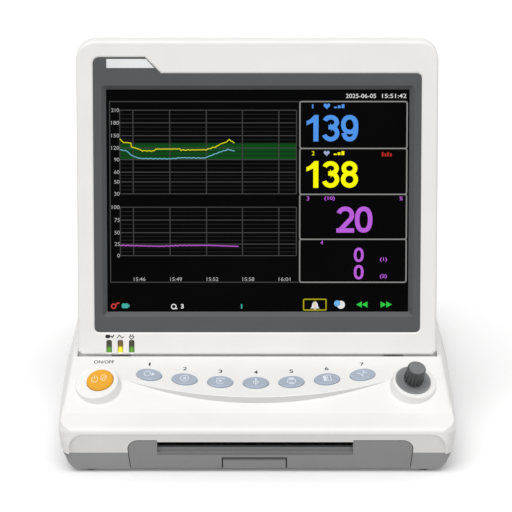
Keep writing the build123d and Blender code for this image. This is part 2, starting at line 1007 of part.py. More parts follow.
def ear_limits():
    """Inner and outer distance of an ear from the middle of its knuckle."""
    inner = hinge_knuckle_width / 2 + 2 * hinge_side_gap + panel_wall
    return inner, inner + hinge_ear


def hinge_pins():
    reach = ear_limits()[1]
    pins = [hinge_axis_bar(hinge_pin_radius, around(side * hinge_x, reach)) for side in (-1, 1)]
    return Compound(children=pins)


def hinge_brackets():
    """Steel brackets inside the display, with an ear on each side of the knuckle."""
    inner, outer = ear_limits()
    back = panel_depth - panel_wall
    front = screen_set_back + window_thickness + lcd_thickness + hinge_side_gap
    top = hinge_rise + hinge_ear_reach
    plate_foot = hinge_rise + hinge_knuckle_radius + hinge_swing_gap + panel_wall + hinge_side_gap
    brackets = []
    for side in (-1, 1):
        x = side * hinge_x
        ears = None
        for ear_side in (-1, 1):
            x_span = sorted((x + ear_side * inner, x + ear_side * outer))
            ear = block(x_span, (front, back), (panel_wall + hinge_side_gap, top))
            ears = ear if ears is None else ears + ear
        bracket = ears + block(around(x, outer), (back - hinge_ear, back), (plate_foot, top))
        bracket -= bar_x(around(x, outer + overrun), hinge_depth, hinge_rise, hinge_pin_radius)
        brackets.append(display_place() * bracket)
    return Compound(children=brackets)


# Display

def display_view(y):
    return Plane(origin=(0, y, 0), x_dir=(1, 0, 0), z_dir=(0, -1, 0))


def display_slab(outline, y_span):
    """A slab of the upright display over an outline seen from the front."""
    return extrude(display_view(y_span[0]) * outline, amount=y_span[0] - y_span[1])


def panel_outline(inset):
    """Front view of the display with its round upper corners."""
    half = panel_width / 2 - inset
    middle = Pos(0, panel_height / 2)
    outline = middle * Rectangle(2 * half, panel_height - 2 * inset)
    return fillet(outline.vertices().sort_by(Axis.Y)[-2:], panel_corner_radius - inset)


def panel_foot_wedges(inset):
    """The slanted cuts at the two lower corners of the display."""
    cuts = []
    low = inset - overrun
    reach = panel_foot_chamfer + overrun
    for side in (-1, 1):
        corner = side * (panel_width / 2 - inset + overrun)
        points = [(corner, low), (corner - side * (reach + overrun), low), (corner, low + reach + overrun)]
        cuts.append(prism_y(points, (-overrun, panel_depth + overrun)))
    return cuts[0] + cuts[1]


def is_rim(edge):
    """Edges of the display's rim apart from the one along its foot."""
    return edge.center().Z > panel_corner_radius


def bezel_left():
    return screen_shift - bezel_width / 2 - bezel_gap


def bezel_outline(grow):
    """The dark surround of the screen, with the raised notch of the alarm lamp."""
    middle = (screen_shift - bezel_gap, bezel_rise + bezel_height / 2)
    width = bezel_width + 2 * grow
    height = bezel_height + 2 * grow
    main = Pos(*middle) * RectangleRounded(width, height, bezel_radius + grow)
    left = bezel_left() + notch_left_inset - grow
    top = bezel_rise + bezel_height + notch_height + grow
    right = left + notch_top_width + 2 * grow
    points = [
        (left, bezel_rise + bezel_height - bezel_radius),
        (left, top),
        (right, top),
        (right + notch_slant + bezel_radius, top - notch_slant - bezel_radius),
    ]
    return main + make_face(Polyline(*points, close=True).edges())


def screen_rectangle(grow):
    middle = (screen_shift, screen_rise + screen_height / 2)
    return Pos(*middle) * Rectangle(screen_width + 2 * grow, screen_height + 2 * grow)


def lamp_outline(grow):
    left = bezel_left() + lamp_left_inset - grow
    low = bezel_rise + bezel_height + lamp_rise - grow
    high = low + lamp_height + 2 * grow
    points = [
        (left, low),
        (left, high),
        (left + lamp_top_width + 2 * grow, high),
        (left + lamp_bottom_width + 2 * grow, low),
    ]
    return make_face(Polyline(*points, close=True).edges())


def indicator_window(index, grow):
    x = indicator_x + indicator_pitch * index
    z_span = (indicator_rise - grow, indicator_rise + indicator_height + grow)
    return block(around(x, indicator_width / 2 + grow), (-grow, indicator_depth), z_span)


def hinge_notch(side, grow=0.0):
    """The notch at the display's foot that clears the knuckle and its post over the whole fold."""
    reach = hinge_knuckle_radius + hinge_swing_gap + grow
    x_span = around(side * hinge_x, hinge_knuckle_width / 2 + hinge_side_gap + grow)
    return block(x_span, (hinge_depth - reach, panel_depth + overrun), (-overrun, hinge_rise + reach))


def display_front_frame():
    frame = display_slab(panel_outline(0), (0, frame_depth))
    rim = frame.faces().sort_by(Axis.Y)[0].edges().filter_by(is_rim)
    frame = fillet(rim, frame_edge_radius) - panel_foot_wedges(0)
    hollow = display_slab(panel_outline(panel_wall), (panel_wall, frame_depth + overrun))
    hollow -= panel_foot_wedges(panel_wall)
    for side in (-1, 1):
        hollow -= hinge_notch(side, panel_wall)
    frame -= hollow
    frame -= display_slab(bezel_outline(bezel_gap), (-overrun, frame_depth))
    for index in range(indicator_count):
        frame -= indicator_window(index, shaft_gap)
    for side in (-1, 1):
        frame -= hinge_notch(side)
    return display_place() * frame


def display_rear_cover():
    """The back shell: rounded edges, vents, and a closed pocket round each knuckle."""
    shell = back_shape((frame_depth, panel_depth), 0)
    hollow = back_shape((frame_depth - overrun, panel_depth - panel_wall), panel_wall)
    for side in (-1, 1):
        hollow -= hinge_notch(side, panel_wall)
    shell -= hollow
    shell -= display_vents()
    for side in (-1, 1):
        shell -= hinge_notch(side)
        pin_span = around(side * hinge_x, ear_limits()[1])
        shell -= bar_x(pin_span, hinge_depth, hinge_rise, hinge_pin_radius + hinge_side_gap)
    return display_place() * shell


def back_shape(y_span, inset):
    """The closed body of the back shell, or its hollow when it is inset by the wall."""
    body = display_slab(panel_outline(inset), y_span)
    rim = body.faces().sort_by(Axis.Y)[-1].edges().filter_by(is_rim)
    return fillet(rim, cover_edge_radius - inset) - panel_foot_wedges(inset)


def display_vents():
    vents = None
    middle = (vent_count - 1) / 2
    z_middle = panel_height - 2 * panel_corner_radius
    for index in range(vent_count):
        x = 2 * vent_pitch * (index - middle)
        y_span = (panel_depth - 2 * panel_wall, panel_depth + overrun)
        vent = block(around(x, vent_slot / 2), y_span, around(z_middle, vent_length / 2))
        vents = vent if vents is None else vents + vent
    return vents


def screen_bezel():
    """The dark surround, bevelled down to the screen and pocketed behind for the window."""
    plate = display_slab(bezel_outline(0), (bezel_set_back, screen_set_back + window_thickness))
    outer_view = display_view(bezel_set_back - bezel_gap) * screen_rectangle(bezel_bevel)
    inner_view = display_view(screen_set_back) * screen_rectangle(0)
    plate -= loft([outer_view, inner_view])
    pocket_span = (screen_set_back, screen_set_back + 2 * window_thickness)
    plate -= display_slab(screen_rectangle(bezel_bevel), pocket_span)
    plate -= display_slab(lamp_outline(shaft_gap), (0, lamp_depth))
    return display_place() * plate


def screen_window():
    y_span = (screen_set_back, screen_set_back + window_thickness)
    return display_place() * display_slab(screen_rectangle(bezel_bevel - bezel_gap), y_span)


def lcd_module():
    front = screen_set_back + window_thickness
    module = display_slab(screen_rectangle(lcd_border), (front, front + lcd_thickness))
    for x, z in display_board_posts():
        post = bar_y(x, (front + lcd_thickness, display_board_front()), z, board_post_radius)
        module += post
    return display_place() * module


def display_board_front():
    return screen_set_back + window_thickness + lcd_thickness + 2 * board_thickness


def display_board_posts():
    x_reach = display_board_width / 2 - board_post_inset
    z_reach = display_board_height / 2 - board_post_inset
    middle = screen_rise + screen_height / 2
    return [(x_side * x_reach, middle + z_side * z_reach) for x_side, z_side in corner_signs()]


def display_board():
    front = display_board_front()
    middle = screen_rise + screen_height / 2
    x_span = around(0, display_board_width / 2)
    z_span = around(middle, display_board_height / 2)
    board = block(x_span, (front, front + board_thickness), z_span)
    for x_share, z_share, width_share, height_share in display_part_shares:
        x = x_share * display_board_width / 2
        z = middle + z_share * display_board_height / 2
        x_span = around(x, width_share * display_board_width / 2)
        z_span = around(z, height_share * display_board_height / 2)
        board += block(x_span, (front, front + 2 * board_thickness), z_span)
    return display_place() * board


def alarm_lamp():
    y_span = (bezel_set_back - bezel_gap, lamp_depth)
    return display_place() * display_slab(lamp_outline(0), y_span)


def indicator_lenses():
    lenses = [display_place() * indicator_window(index, 0) for index in range(indicator_count)]
    return Compound(children=lenses)


# Keys, power button and control knob

def key(x, y, turn):
    """An elliptical key with a flange under the strip and a stem that meets its dome switch."""
    flange_top = -wall - key_gap
    flange_foot = flange_top - key_flange_thickness
    cap = key_column(0, flange_foot, key_proud)
    cap = chamfer(cap.faces().sort_by(Axis.Z)[-1].edges(), key_edge)
    cap += key_column(key_flange, flange_foot, flange_top)
    stem_foot = -key_board_drop + dome_height + dome_gap + key_travel
    cap += Pos(Z=(stem_foot + flange_foot) / 2) * Cylinder(key_stem_radius, flange_foot - stem_foot)
    return strip_place(x, y, turn) * cap


def key_board():
    """The circuit board under the strip, with a switch dome below each key."""
    x_span = around(0, key_board_width / 2)
    y_span = around(0, key_board_breadth / 2)
    z_span = (-key_board_drop - board_thickness, -key_board_drop)
    board = key_board_place() * block(x_span, y_span, z_span)
    for x, y, turn in key_layout():
        dome = Pos(Z=-key_board_drop + dome_height / 2) * Cylinder(dome_radius, dome_height)
        board += strip_place(x, y, turn) * dome
    return board


def power_button():
    flange_top = -boss_roof - button_gap
    flange_foot = flange_top - button_flange
    stem_foot = -switch_drop + button_travel + button_gap
    cap = Pos(Z=(flange_foot + button_proud) / 2) * Cylinder(button_radius, button_proud - flange_foot)
    cap = chamfer(cap.faces().sort_by(Axis.Z)[-1].edges(), button_edge)
    flange_radius = button_radius + button_flange
    cap += Pos(Z=(flange_foot + flange_top) / 2) * Cylinder(flange_radius, flange_top - flange_foot)
    cap += Pos(Z=(stem_foot + flange_foot) / 2) * Cylinder(button_stem_radius, flange_foot - stem_foot)
    return boss_place(-1) * cap


def power_switch():
    """The switch on its round board, held in the hollow of the boss."""
    board_top = -switch_drop - switch_height
    switch = block(around(0, switch_side / 2), around(0, switch_side / 2), (board_top, -switch_drop))
    board_radius = boss_cavity_radius - switch_board_gap
    switch += Pos(Z=board_top - board_thickness / 2) * Cylinder(board_radius, board_thickness)
    return boss_place(-1) * switch


def dish_floor():
    return -dish_sink + board_thickness


def encoder_dish():
    """The shallow dark dish round the control knob."""
    hole = bush_radius + shaft_gap
    points = [
        (hole, -dish_sink),
        (dish_radius, -dish_sink),
        (dish_radius, dish_lip),
        (dish_radius - dish_lip, dish_lip),
        (dish_floor_radius, dish_floor()),
        (hole, dish_floor()),
    ]
    side_view = Plane(origin=(0, 0, 0), x_dir=(1, 0, 0), z_dir=(0, -1, 0))
    profile = side_view * make_face(Polyline(*points, close=True).edges())
    return boss_place(1) * revolve(profile, Axis.Z)


def rotor_top():
    return -boss_roof - encoder_can_depth / 3


def encoder_body():
    """The encoder's can and threaded bush, fixed under the boss's roof."""
    can_foot = -boss_roof - encoder_can_depth
    half = encoder_can / 2
    body = block(around(0, half), around(0, half), (can_foot, -boss_roof))
    bush_top = dish_floor() + shaft_gap
    body += Pos(Z=(bush_top - boss_roof) / 2) * Cylinder(bush_radius, bush_top + boss_roof)
    bore_foot = can_foot + board_thickness / 2
    bore_height = bush_top + overrun - bore_foot
    body -= Pos(Z=bore_foot + bore_height / 2) * Cylinder(shaft_radius + shaft_gap, bore_height)
    rotor_middle = rotor_top() - rotor_thickness / 2
    body -= Pos(Z=rotor_middle) * Cylinder(rotor_radius + 2 * shaft_gap, rotor_thickness + 4 * shaft_gap)
    return boss_place(1) * body


def encoder_rotor():
    rotor = Cylinder(rotor_radius, rotor_thickness)
    rotor -= Cylinder(shaft_radius + shaft_gap, 2 * rotor_thickness)
    return boss_place(1) * Pos(Z=rotor_top() - rotor_thickness / 2) * rotor


def knob_foot():
    return dish_floor() + knob_lift


def encoder_shaft():
    foot = -boss_roof - encoder_can_depth + board_thickness / 2 + knob_travel + shaft_gap
    top = knob_foot() + knob_height - knob_base_radius / 2
    return boss_place(1) * Pos(Z=(foot + top) / 2) * Cylinder(shaft_radius, top - foot)


def control_knob():
    """A tapered knob with flutes round its side and a chamfered top."""
    foot = knob_foot()
    knob = Pos(Z=foot + knob_height / 2) * Cone(knob_base_radius, knob_top_radius, knob_height)
    knob = chamfer(knob.faces().sort_by(Axis.Z)[-1].edges(), flute_radius)
    for index in range(knob_flutes):
        angle = 360 * index / knob_flutes
        middle = (knob_base_radius + knob_top_radius) / 2 + flute_radius / 3
        low = foot - overrun
        high = foot + knob_height - 2 * flute_radius
        flute = Pos(middle, 0, (low + high) / 2) * Cylinder(flute_radius, high - low)
        knob -= Rot(Z=angle) * flute
    bore_top = foot + knob_height - knob_base_radius / 2
    knob -= Pos(Z=(foot + bore_top) / 2) * Cylinder(shaft_radius, bore_top - foot)
    return boss_place(1) * knob


# Paper drawer

def drawer_front():
    """The grey drawer face: flush with the leaning front, cut down for the paper slot."""
    face = drawer_block(0, drawer_front_depth) - front_space(drawer_bottom - overrun, drawer_top + overrun)
    through = (front_y - overrun, front_y + drawer_front_depth + overrun)
    face -= block(slot_span(), through, (slot_floor, drawer_top + overrun))
    set_back = Pos(Y=tear_bar_set_back) * front_space(tear_bar_floor, slot_floor + overrun)
    face -= set_back & block(slot_span(), through, (tear_bar_floor, slot_floor + overrun))
    hollow = drawer_block(-tray_wall, drawer_front_depth + overrun)
    skin = tear_bar_set_back + tray_wall
    hollow -= block((-base_width / 2, base_width / 2), (front_y - overrun, front_y + skin), (0, drawer_top))
    hollow -= Pos(Y=skin) * front_space(0, drawer_top)
    hollow -= block(slot_span(tray_wall), through, (slot_floor - tray_wall, drawer_top))
    face -= hollow
    pocket = around(latch_centre, latch_width / 2 + latch_gap)
    face -= block(pocket, through, (drawer_bottom - overrun, latch_top + latch_gap))
    return face


def drawer_latch():
    """The finger plate at the drawer's foot that is pushed in to free the drawer."""
    x_span = around(latch_centre, latch_width / 2)
    z_span = (latch_bottom, latch_top)
    plate = block(x_span, (front_y, front_y + drawer_front_depth + overrun), z_span)
    plate -= front_space(0, slot_floor)
    return plate & (Pos(Y=latch_thickness) * front_space(0, slot_floor))


def tray_walls():
    """Inner and outer X of the tray's two side walls."""
    return (tray_left, tray_left + tray_wall), (tray_right - tray_wall, tray_right)


def paper_tray():
    """The paper compartment: it carries the roller in front and slides on two tongues."""
    left, right = tray_walls()
    rear = front_y + tray_run + tray_inner_depth
    tray_span = (front_y + drawer_front_depth, rear + tray_wall)
    low = tray_floor_height
    floor_span = (front_y + tray_floor_run, rear + tray_wall)
    tray = block((left[0], right[1]), floor_span, (low, low + tray_floor_thickness))
    for x_span in (left, right):
        tray += block(x_span, tray_span, (low, tray_wall_top))
        tray += block(x_span, (rear, rear + tray_tail), (low, tail_top))
    inner_span = (left[1], right[0])
    front_wall = (front_y + tray_run - tray_wall, front_y + tray_run)
    tray += block(inner_span, front_wall, (low, tray_front_wall_top))
    tray += block(inner_span, (rear, rear + tray_wall), (low, tray_wall_top))
    rail_span = (front_y + runner_run, rear + tray_tail)
    rail_z = (tongue_rail_height, tongue_rail_height + tongue_rail_thickness)
    tray += block((left[0] - tongue_rail_width, left[0]), rail_span, rail_z)
    tray += block((right[1], right[1] + tongue_rail_width), rail_span, rail_z)
    shaft_hole = platen_shaft_radius + journal_gap
    return tray - platen_bar(shaft_hole, (left[0] - overrun, right[1] + overrun))


def drawer_runners():
    """Two grooved runners on the chassis floor."""
    left, right = tray_walls()
    y_span = (front_y + runner_run, front_y + runner_run + runner_length)
    groove_low = tongue_rail_height - runner_gap
    groove_high = tongue_rail_height + tongue_rail_thickness + runner_gap
    groove_depth = tongue_rail_width + runner_gap
    runners = []
    for near, out in ((left[0] - runner_gap, -1), (right[1] + runner_gap, 1)):
        x_span = sorted((near, near + out * runner_width))
        runner = block(x_span, y_span, (floor_top, runner_height))
        groove_span = sorted((near - out * runner_gap, near + out * groove_depth))
        longer = (y_span[0] - overrun, y_span[1] + overrun)
        runner -= block(groove_span, longer, (groove_low, groove_high))
        runners.append(runner)
    return Compound(children=runners)


# Printer

def platen_bar(radius, x_span):
    return bar_x(x_span, front_y + platen_run, platen_height, radius)


def platen_shaft():
    left, right = tray_walls()
    return platen_bar(platen_shaft_radius, (left[0], gear_side_x + gear_width))


def platen_roller():
    left, right = tray_walls()
    x_span = (left[1] + platen_end_gap, right[0] - platen_end_gap)
    return platen_bar(platen_radius, x_span) - platen_bar(platen_shaft_radius, x_span)


def gear(teeth, bore_radius, turn):
    """A spur gear about X, centred on the origin, with flat-flanked teeth and a backlash."""
    pitch_radius = gear_module * teeth / 2
    tip_radius = pitch_radius + gear_module
    root_radius = pitch_radius - gear_module - gear_root_gap
    half_pitch = math.pi * gear_module / 2
    root_half = half_pitch * (1 + tooth_flare_share) / 2
    pitch_half = (half_pitch - gear_backlash) / 2
    tip_half = half_pitch * tooth_tip_share / 2
    tooth_points = [
        (root_radius * math.cos(root_half / root_radius), -root_half),
        (pitch_radius, -pitch_half),
        (tip_radius, -tip_half),
        (tip_radius, tip_half),
        (pitch_radius, pitch_half),
        (root_radius * math.cos(root_half / root_radius), root_half),
    ]
    rim = []
    for index in range(teeth):
        angle = math.radians(turn) + 2 * math.pi * index / teeth
        for out, across in tooth_points:
            y = out * math.cos(angle) - across * math.sin(angle)
            z = out * math.sin(angle) + across * math.cos(angle)
            rim.append((y, z))
    blank = prism_x(rim, (0, gear_width))
    return blank - bar_x((-overrun, gear_width + overrun), 0, 0, bore_radius)


def idler_centre():
    distance = gear_module * (platen_teeth + idler_teeth) / 2
    return front_y + platen_run + distance, platen_height


def pinion_centre():
    distance = gear_module * (idler_teeth + pinion_teeth) / 2
    angle = math.radians(pinion_angle)
    y, z = idler_centre()
    return y + distance * math.cos(angle), z + distance * math.sin(angle)


def idler_turn():
    """The idler's gap faces the platen gear's tooth."""
    return 180 + 180 / idler_teeth


def pinion_turn():
    """The pinion's tooth faces the gap of the idler that lies nearest to the line of centres."""
    pitch = 360 / idler_teeth
    offset_angle = (pinion_angle - idler_turn()) % pitch
    return pinion_angle + 180 + (offset_angle - pitch / 2) * idler_teeth / pinion_teeth


def platen_gear():
    place = Pos(gear_side_x, front_y + platen_run, platen_height)
    return place * gear(platen_teeth, platen_shaft_radius, 0)


def idler_gear():
    y, z = idler_centre()
    return Pos(gear_side_x, y, z) * gear(idler_teeth, idler_stud_radius + gear_hub_gap, idler_turn())


def motor_pinion():
    y, z = pinion_centre()
    return Pos(gear_side_x, y, z) * gear(pinion_teeth, motor_shaft_radius, pinion_turn())


def motor_shaft():
    y, z = pinion_centre()
    inner = frame_right_x + frame_sheet + motor_length / 2
    return bar_x((gear_side_x, inner), y, z, motor_shaft_radius)


def stepper_motor():
    y, z = pinion_centre()
    near = frame_right_x + frame_sheet
    body = block((near, near + motor_length), around(y, motor_side / 2), around(z, motor_side / 2))
    body = chamfer(body.edges().filter_by(Axis.X), motor_corner)
    bore_span = (near - overrun, near + 2 * motor_length / 3)
    return body - bar_x(bore_span, y, z, motor_shaft_radius + journal_gap)


def printer_frame():
    """A folded sheet frame: two cheeks, a bar across the top, and the idler's stud."""
    y_span = (front_y + frame_front_run, front_y + frame_rear_run)
    bar_span = (front_y + frame_front_run, front_y + frame_bar_rear_run)
    bar_z_span = (frame_bar_height, frame_bar_height + frame_sheet)
    left_span = (frame_left_x, frame_left_x + frame_sheet)
    right_span = (frame_right_x, frame_right_x + frame_sheet)
    frame = block(left_span, y_span, (floor_top, frame_top))
    frame += block(right_span, y_span, (floor_top, frame_top))
    frame += block((frame_left_x, frame_right_x), bar_span, bar_z_span)
    left_foot = (frame_left_x - frame_foot_width, frame_left_x)
    right_foot = (frame_right_x, frame_right_x + frame_sheet + frame_foot_width)
    for foot in (left_foot, right_foot):
        frame += block(foot, y_span, (floor_top, floor_top + frame_sheet))
    y, z = idler_centre()
    frame += bar_x((gear_side_x, frame_right_x), y, z, idler_stud_radius)
    y, z = pinion_centre()
    shaft_span = (frame_right_x - overrun, frame_right_x + 2 * frame_sheet)
    return frame - bar_x(shaft_span, y, z, motor_shaft_radius * 2)


def print_head():
    """The thermal head: a heater plate above the roller and a finned sink behind it."""
    foot = platen_height + platen_radius + head_gap
    x_span = around(slot_centre, tray_inner_width / 2 - head_inset)
    y_span = (front_y + head_front_run, front_y + head_rear_run)
    head = block(x_span, y_span, (foot, foot + head_plate))
    pitch = (y_span[1] - y_span[0] - sink_fin) / (sink_fin_count - 1)
    fin_foot = foot + head_plate
    fin_top = fin_foot + sink_thickness
    for index in range(sink_fin_count):
        low = y_span[0] + pitch * index
        head += block(x_span, (low, low + sink_fin), (fin_foot, fin_top))
    return head + block(x_span, y_span, (fin_top, frame_bar_height))


# Electronics, speaker and connectors

def parts_on_board(x_span, y_span, z, shares, unit):
    """Square-edged components on a board, placed by shares of its size."""
    parts = None
    for x_share, y_share, width_share, depth_share, height_share in shares:
        x_middle = x_span[0] + x_share * (x_span[1] - x_span[0])
        y_middle = y_span[0] + y_share * (y_span[1] - y_span[0])
        x_half = width_share * (x_span[1] - x_span[0]) / 2
        y_half = depth_share * (y_span[1] - y_span[0]) / 2
        item = block(around(x_middle, x_half), around(y_middle, y_half), (z, z + height_share * unit))
        parts = item if parts is None else parts + item
    return parts


def main_board():
    x_span = around(board_x, board_length / 2)
    y_span = around(board_y, board_breadth / 2)
    top = board_height + board_thickness
    board = block(x_span, y_span, (board_height, top))
    return board + parts_on_board(x_span, y_span, top, main_part_shares, main_part_height)


def power_supply():
    x_span = around(supply_x, supply_length / 2)
    y_span = around(supply_y, supply_breadth / 2)
    top = supply_height + board_thickness
    board = block(x_span, y_span, (supply_height, top))
    return board + parts_on_board(x_span, y_span, top, supply_part_shares, supply_part_height)


def side_inner_x(y, z):
    """X of the cover's inner right wall at a place, found by probing the cavity."""
    probe = bar_x((0, base_width), y, z, shaft_gap) & upper_body(wall)
    return probe.bounding_box().max.X


def speaker():
    """The speaker in the right side wall, facing the grille."""
    reaches = (-speaker_radius, speaker_radius)
    across = [side_inner_x(speaker_y + reach, speaker_height) for reach in reaches]
    upright = [side_inner_x(speaker_y, speaker_height + reach) for reach in reaches]
    face = min(across + upright) - shaft_gap
    cone = Pos(face - speaker_depth / 2, speaker_y, speaker_height) * Rot(Y=90)
    return cone * Cone(speaker_radius / 2, speaker_radius, speaker_depth)


def socket_plate():
    """The grey plate in the left side that carries the transducer sockets."""
    x_span = (socket_plate_x, socket_plate_x + socket_plate_thickness)
    plate = block(x_span, socket_plate_span(0), around(socket_height, socket_plate_height / 2))
    plate = fillet(plate.edges().filter_by(Axis.X), socket_plate_thickness)
    for y in socket_places():
        plate -= bar_x((x_span[0] - overrun, x_span[1] + overrun), y, socket_height, socket_barrel_radius)
    return plate


def transducer_socket(y):
    """A round socket: a flange in front of the plate and a blind barrel behind it."""
    face = socket_plate_x
    socket = bar_x((face - socket_proud, face), y, socket_height, socket_radius)
    front = face - socket_proud
    socket += bar_x((front, front + socket_depth), y, socket_height, socket_barrel_radius)
    bore_span = (front - overrun, front + socket_bore_depth)
    return socket - bar_x(bore_span, y, socket_height, socket_bore_radius)


def mains_inlet():
    """The three-pin mains inlet, flush in the rear wall."""
    y_span = (rear_y - inlet_depth, rear_y)
    inlet = block(around(inlet_x, inlet_width / 2), y_span, around(inlet_height, inlet_tall / 2))
    cavity_x = inlet_width / 2 - inlet_cavity_wall
    cavity_z = inlet_tall / 2 - inlet_cavity_wall
    cavity_y = (rear_y - inlet_cavity_depth, rear_y + overrun)
    cavity = block(around(inlet_x, cavity_x), cavity_y, around(inlet_height, cavity_z))
    upper = cavity.edges().filter_by(Axis.Y).sort_by(Axis.Z)[-2:]
    inlet -= chamfer(upper, inlet_blade_tall)
    low = inlet_height - inlet_blade_tall / 2
    middle_low = low - inlet_blade_tall / 2
    for offset_x, z in ((-inlet_blade_pitch, low), (0, middle_low), (inlet_blade_pitch, low)):
        x_span = around(inlet_x + offset_x, inlet_blade_width / 2)
        y_blade = (rear_y - inlet_cavity_depth - overrun, rear_y - inlet_cavity_depth + inlet_blade_length)
        inlet += block(x_span, y_blade, around(z, inlet_blade_tall / 2))
    return inlet


def data_socket():
    y_span = (rear_y - data_depth, rear_y)
    socket = block(around(data_x, data_width / 2), y_span, around(data_height, data_tall / 2))
    cavity_y = (rear_y - data_depth + 2 * data_wall, rear_y + overrun)
    x_span = around(data_x, data_width / 2 - data_wall)
    return socket - block(x_span, cavity_y, around(data_height, data_tall / 2 - data_wall))


def earth_stud():
    return bar_y(earth_x, (rear_y - earth_length, rear_y), inlet_height, earth_radius)


def all_parts():
    """Every node of the object by name."""
    parts = {
        "base_upper_cover": base_upper_cover(),
        "base_lower_chassis": base_lower_chassis(),
        "rubber_feet": feet(),
        "battery_pack": battery_pack(),
        "battery_door": battery_door(),
        "hinge_posts": hinge_posts(),
        "hinge_pins": hinge_pins(),
        "hinge_brackets": hinge_brackets(),
        "display_front_frame": display_front_frame(),
        "display_rear_cover": display_rear_cover(),
        "screen_bezel": screen_bezel(),
        "screen_window": screen_window(),
        "lcd_module": lcd_module(),
        "display_board": display_board(),
        "alarm_lamp": alarm_lamp(),
        "indicator_lenses": indicator_lenses(),
        "key_board": key_board(),
        "power_button": power_button(),
        "power_switch": power_switch(),
        "encoder_dish": encoder_dish(),
        "encoder_body": encoder_body(),
        "encoder_rotor": encoder_rotor(),
        "encoder_shaft": encoder_shaft(),
        "control_knob": control_knob(),
        "drawer_front": drawer_front(),
        "drawer_latch": drawer_latch(),
        "paper_tray": paper_tray(),
        "drawer_runners": drawer_runners(),
        "platen_shaft": platen_shaft(),
        "platen_roller": platen_roller(),
        "platen_gear": platen_gear(),
        "idler_gear": idler_gear(),
        "motor_pinion": motor_pinion(),
        "motor_shaft": motor_shaft(),
        "stepper_motor": stepper_motor(),
        "printer_frame": printer_frame(),
        "print_head": print_head(),
        "main_board": main_board(),
        "power_supply": power_supply(),
        "speaker": speaker(),
        "socket_plate": socket_plate(),
        "mains_inlet": mains_inlet(),
        "data_socket": data_socket(),
        "earth_stud": earth_stud(),
    }
    for index, (x, y, turn) in enumerate(key_layout(), start=1):
        parts[f"key_{index}"] = key(x, y, turn)
    for index, y in enumerate(socket_places(), start=1):
        parts[f"transducer_socket_{index}"] = transducer_socket(y)
    return parts


def main():
    os.makedirs("parts", exist_ok=True)
    for name, shape in all_parts().items():
        export_step(shape, os.path.join("parts", name + ".step"))


if __name__ == "__main__":
    main()
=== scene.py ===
import math

import bpy
from mathutils import Matrix, Vector
from mathutils.geometry import tessellate_polygon


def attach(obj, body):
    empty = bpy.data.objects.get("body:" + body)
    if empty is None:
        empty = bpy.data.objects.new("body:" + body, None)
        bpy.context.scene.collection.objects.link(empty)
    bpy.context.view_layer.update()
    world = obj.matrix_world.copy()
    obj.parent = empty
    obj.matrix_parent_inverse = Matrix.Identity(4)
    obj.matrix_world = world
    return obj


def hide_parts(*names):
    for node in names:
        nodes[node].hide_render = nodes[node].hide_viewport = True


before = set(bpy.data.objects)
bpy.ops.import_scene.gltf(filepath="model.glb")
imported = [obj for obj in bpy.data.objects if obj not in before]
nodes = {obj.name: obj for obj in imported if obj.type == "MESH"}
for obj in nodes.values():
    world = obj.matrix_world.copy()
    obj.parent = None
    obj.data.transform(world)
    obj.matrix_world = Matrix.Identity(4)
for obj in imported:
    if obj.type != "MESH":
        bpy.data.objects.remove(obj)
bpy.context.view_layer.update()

# Lengths are in millimetres until a mesh is made
METRES = 0.001

# Places of the solids
RIDGE_Y = -97.8
STRIP_HEIGHT = 74.6
STRIP_SLOPE = 17.0
PANEL_FOOT = 75.4
PANEL_LEAN = 8.8
PANEL_DEPTH = 26.0
BUTTON_X = -127.7
KNOB_X = 126.5
BOSS_Y = -135.0
BOSS_HEIGHT = 67.7
BOSS_SLOPE = 26.0
BOSS_ROLL = 11.3
SCREEN_DEPTH = 4.2
INK_LIFT = 0.04
LIGHT_LIFT = 0.05
PIXEL = 0.24
MOTTLE_GRAIN = 28.0

# Keys: X, Y and turn follow the curved strip
KEY_SPREAD = 87.0
KEY_SHIFT = -1.2
KEY_SAG = 10.0
KEY_ROW_Y = -132.0
KEY_COUNT = 7
KEY_TOP = 1.8

KNOB_TOP = 16.2
DISH_TOP = 1.0

# Camera of the photograph
TARGET = Vector((-0.00106, -0.09333, 0.16031))
CAMERA_RISE = 20.0
CAMERA_DISTANCE = 3.5
SENSOR = 36.0
FOCAL_PIXELS = 4300.0
IMAGE_SIZE = 512

# Colours, linear
WHITE = (0.843, 0.835, 0.818)
CHASSIS_GREY = (0.335, 0.338, 0.336)
BEZEL_GREY = (0.076, 0.079, 0.083)
INK_BLACK = (0.012, 0.012, 0.012)
PLASTIC_BLACK = (0.02, 0.02, 0.022)
KEY_BLUE = (0.395, 0.455, 0.540)
KEY_PALE = (0.700, 0.760, 0.850)
BUTTON_ORANGE = (0.790, 0.365, 0.006)
BUTTON_PALE = (0.950, 0.720, 0.420)
GEAR_IVORY = (0.78, 0.75, 0.66)
KNOB_GREY = (0.055, 0.059, 0.059)
# Paler colours for the tops of the knob and the dish: painted light where the lamp falls on them
KNOB_TOP_PAINTED_LIGHT = (0.22, 0.223, 0.23)
DISH_GREY = (0.245, 0.25, 0.258)
DISH_TOP_PAINTED_LIGHT = (0.262, 0.268, 0.277)


def shift(x, y, z):
    return Matrix.Translation((x, y, z))


def turn(degrees, axis):
    return Matrix.Rotation(math.radians(degrees), 4, axis)


def display_face(depth):
    """The display's plane at one depth: X to the right, Y up the screen, Z out to the front."""
    return shift(0, RIDGE_Y, PANEL_FOOT) @ turn(-PANEL_LEAN, "X") @ shift(0, depth, 0) @ turn(90, "X")


def display_back(depth):
    """The same plane seen from behind."""
    return display_face(depth) @ turn(180, "Y")


def section_face():
    """A plane across the object: its X to the rear, its Y up, its Z to the right."""
    return turn(90, "Z") @ turn(90, "X")


def strip_height(y):
    return STRIP_HEIGHT - math.tan(math.radians(STRIP_SLOPE)) * (RIDGE_Y - y)


def strip_face(x, y, angle=0.0):
    return shift(x, y, strip_height(y)) @ turn(STRIP_SLOPE, "X") @ turn(angle, "Z")


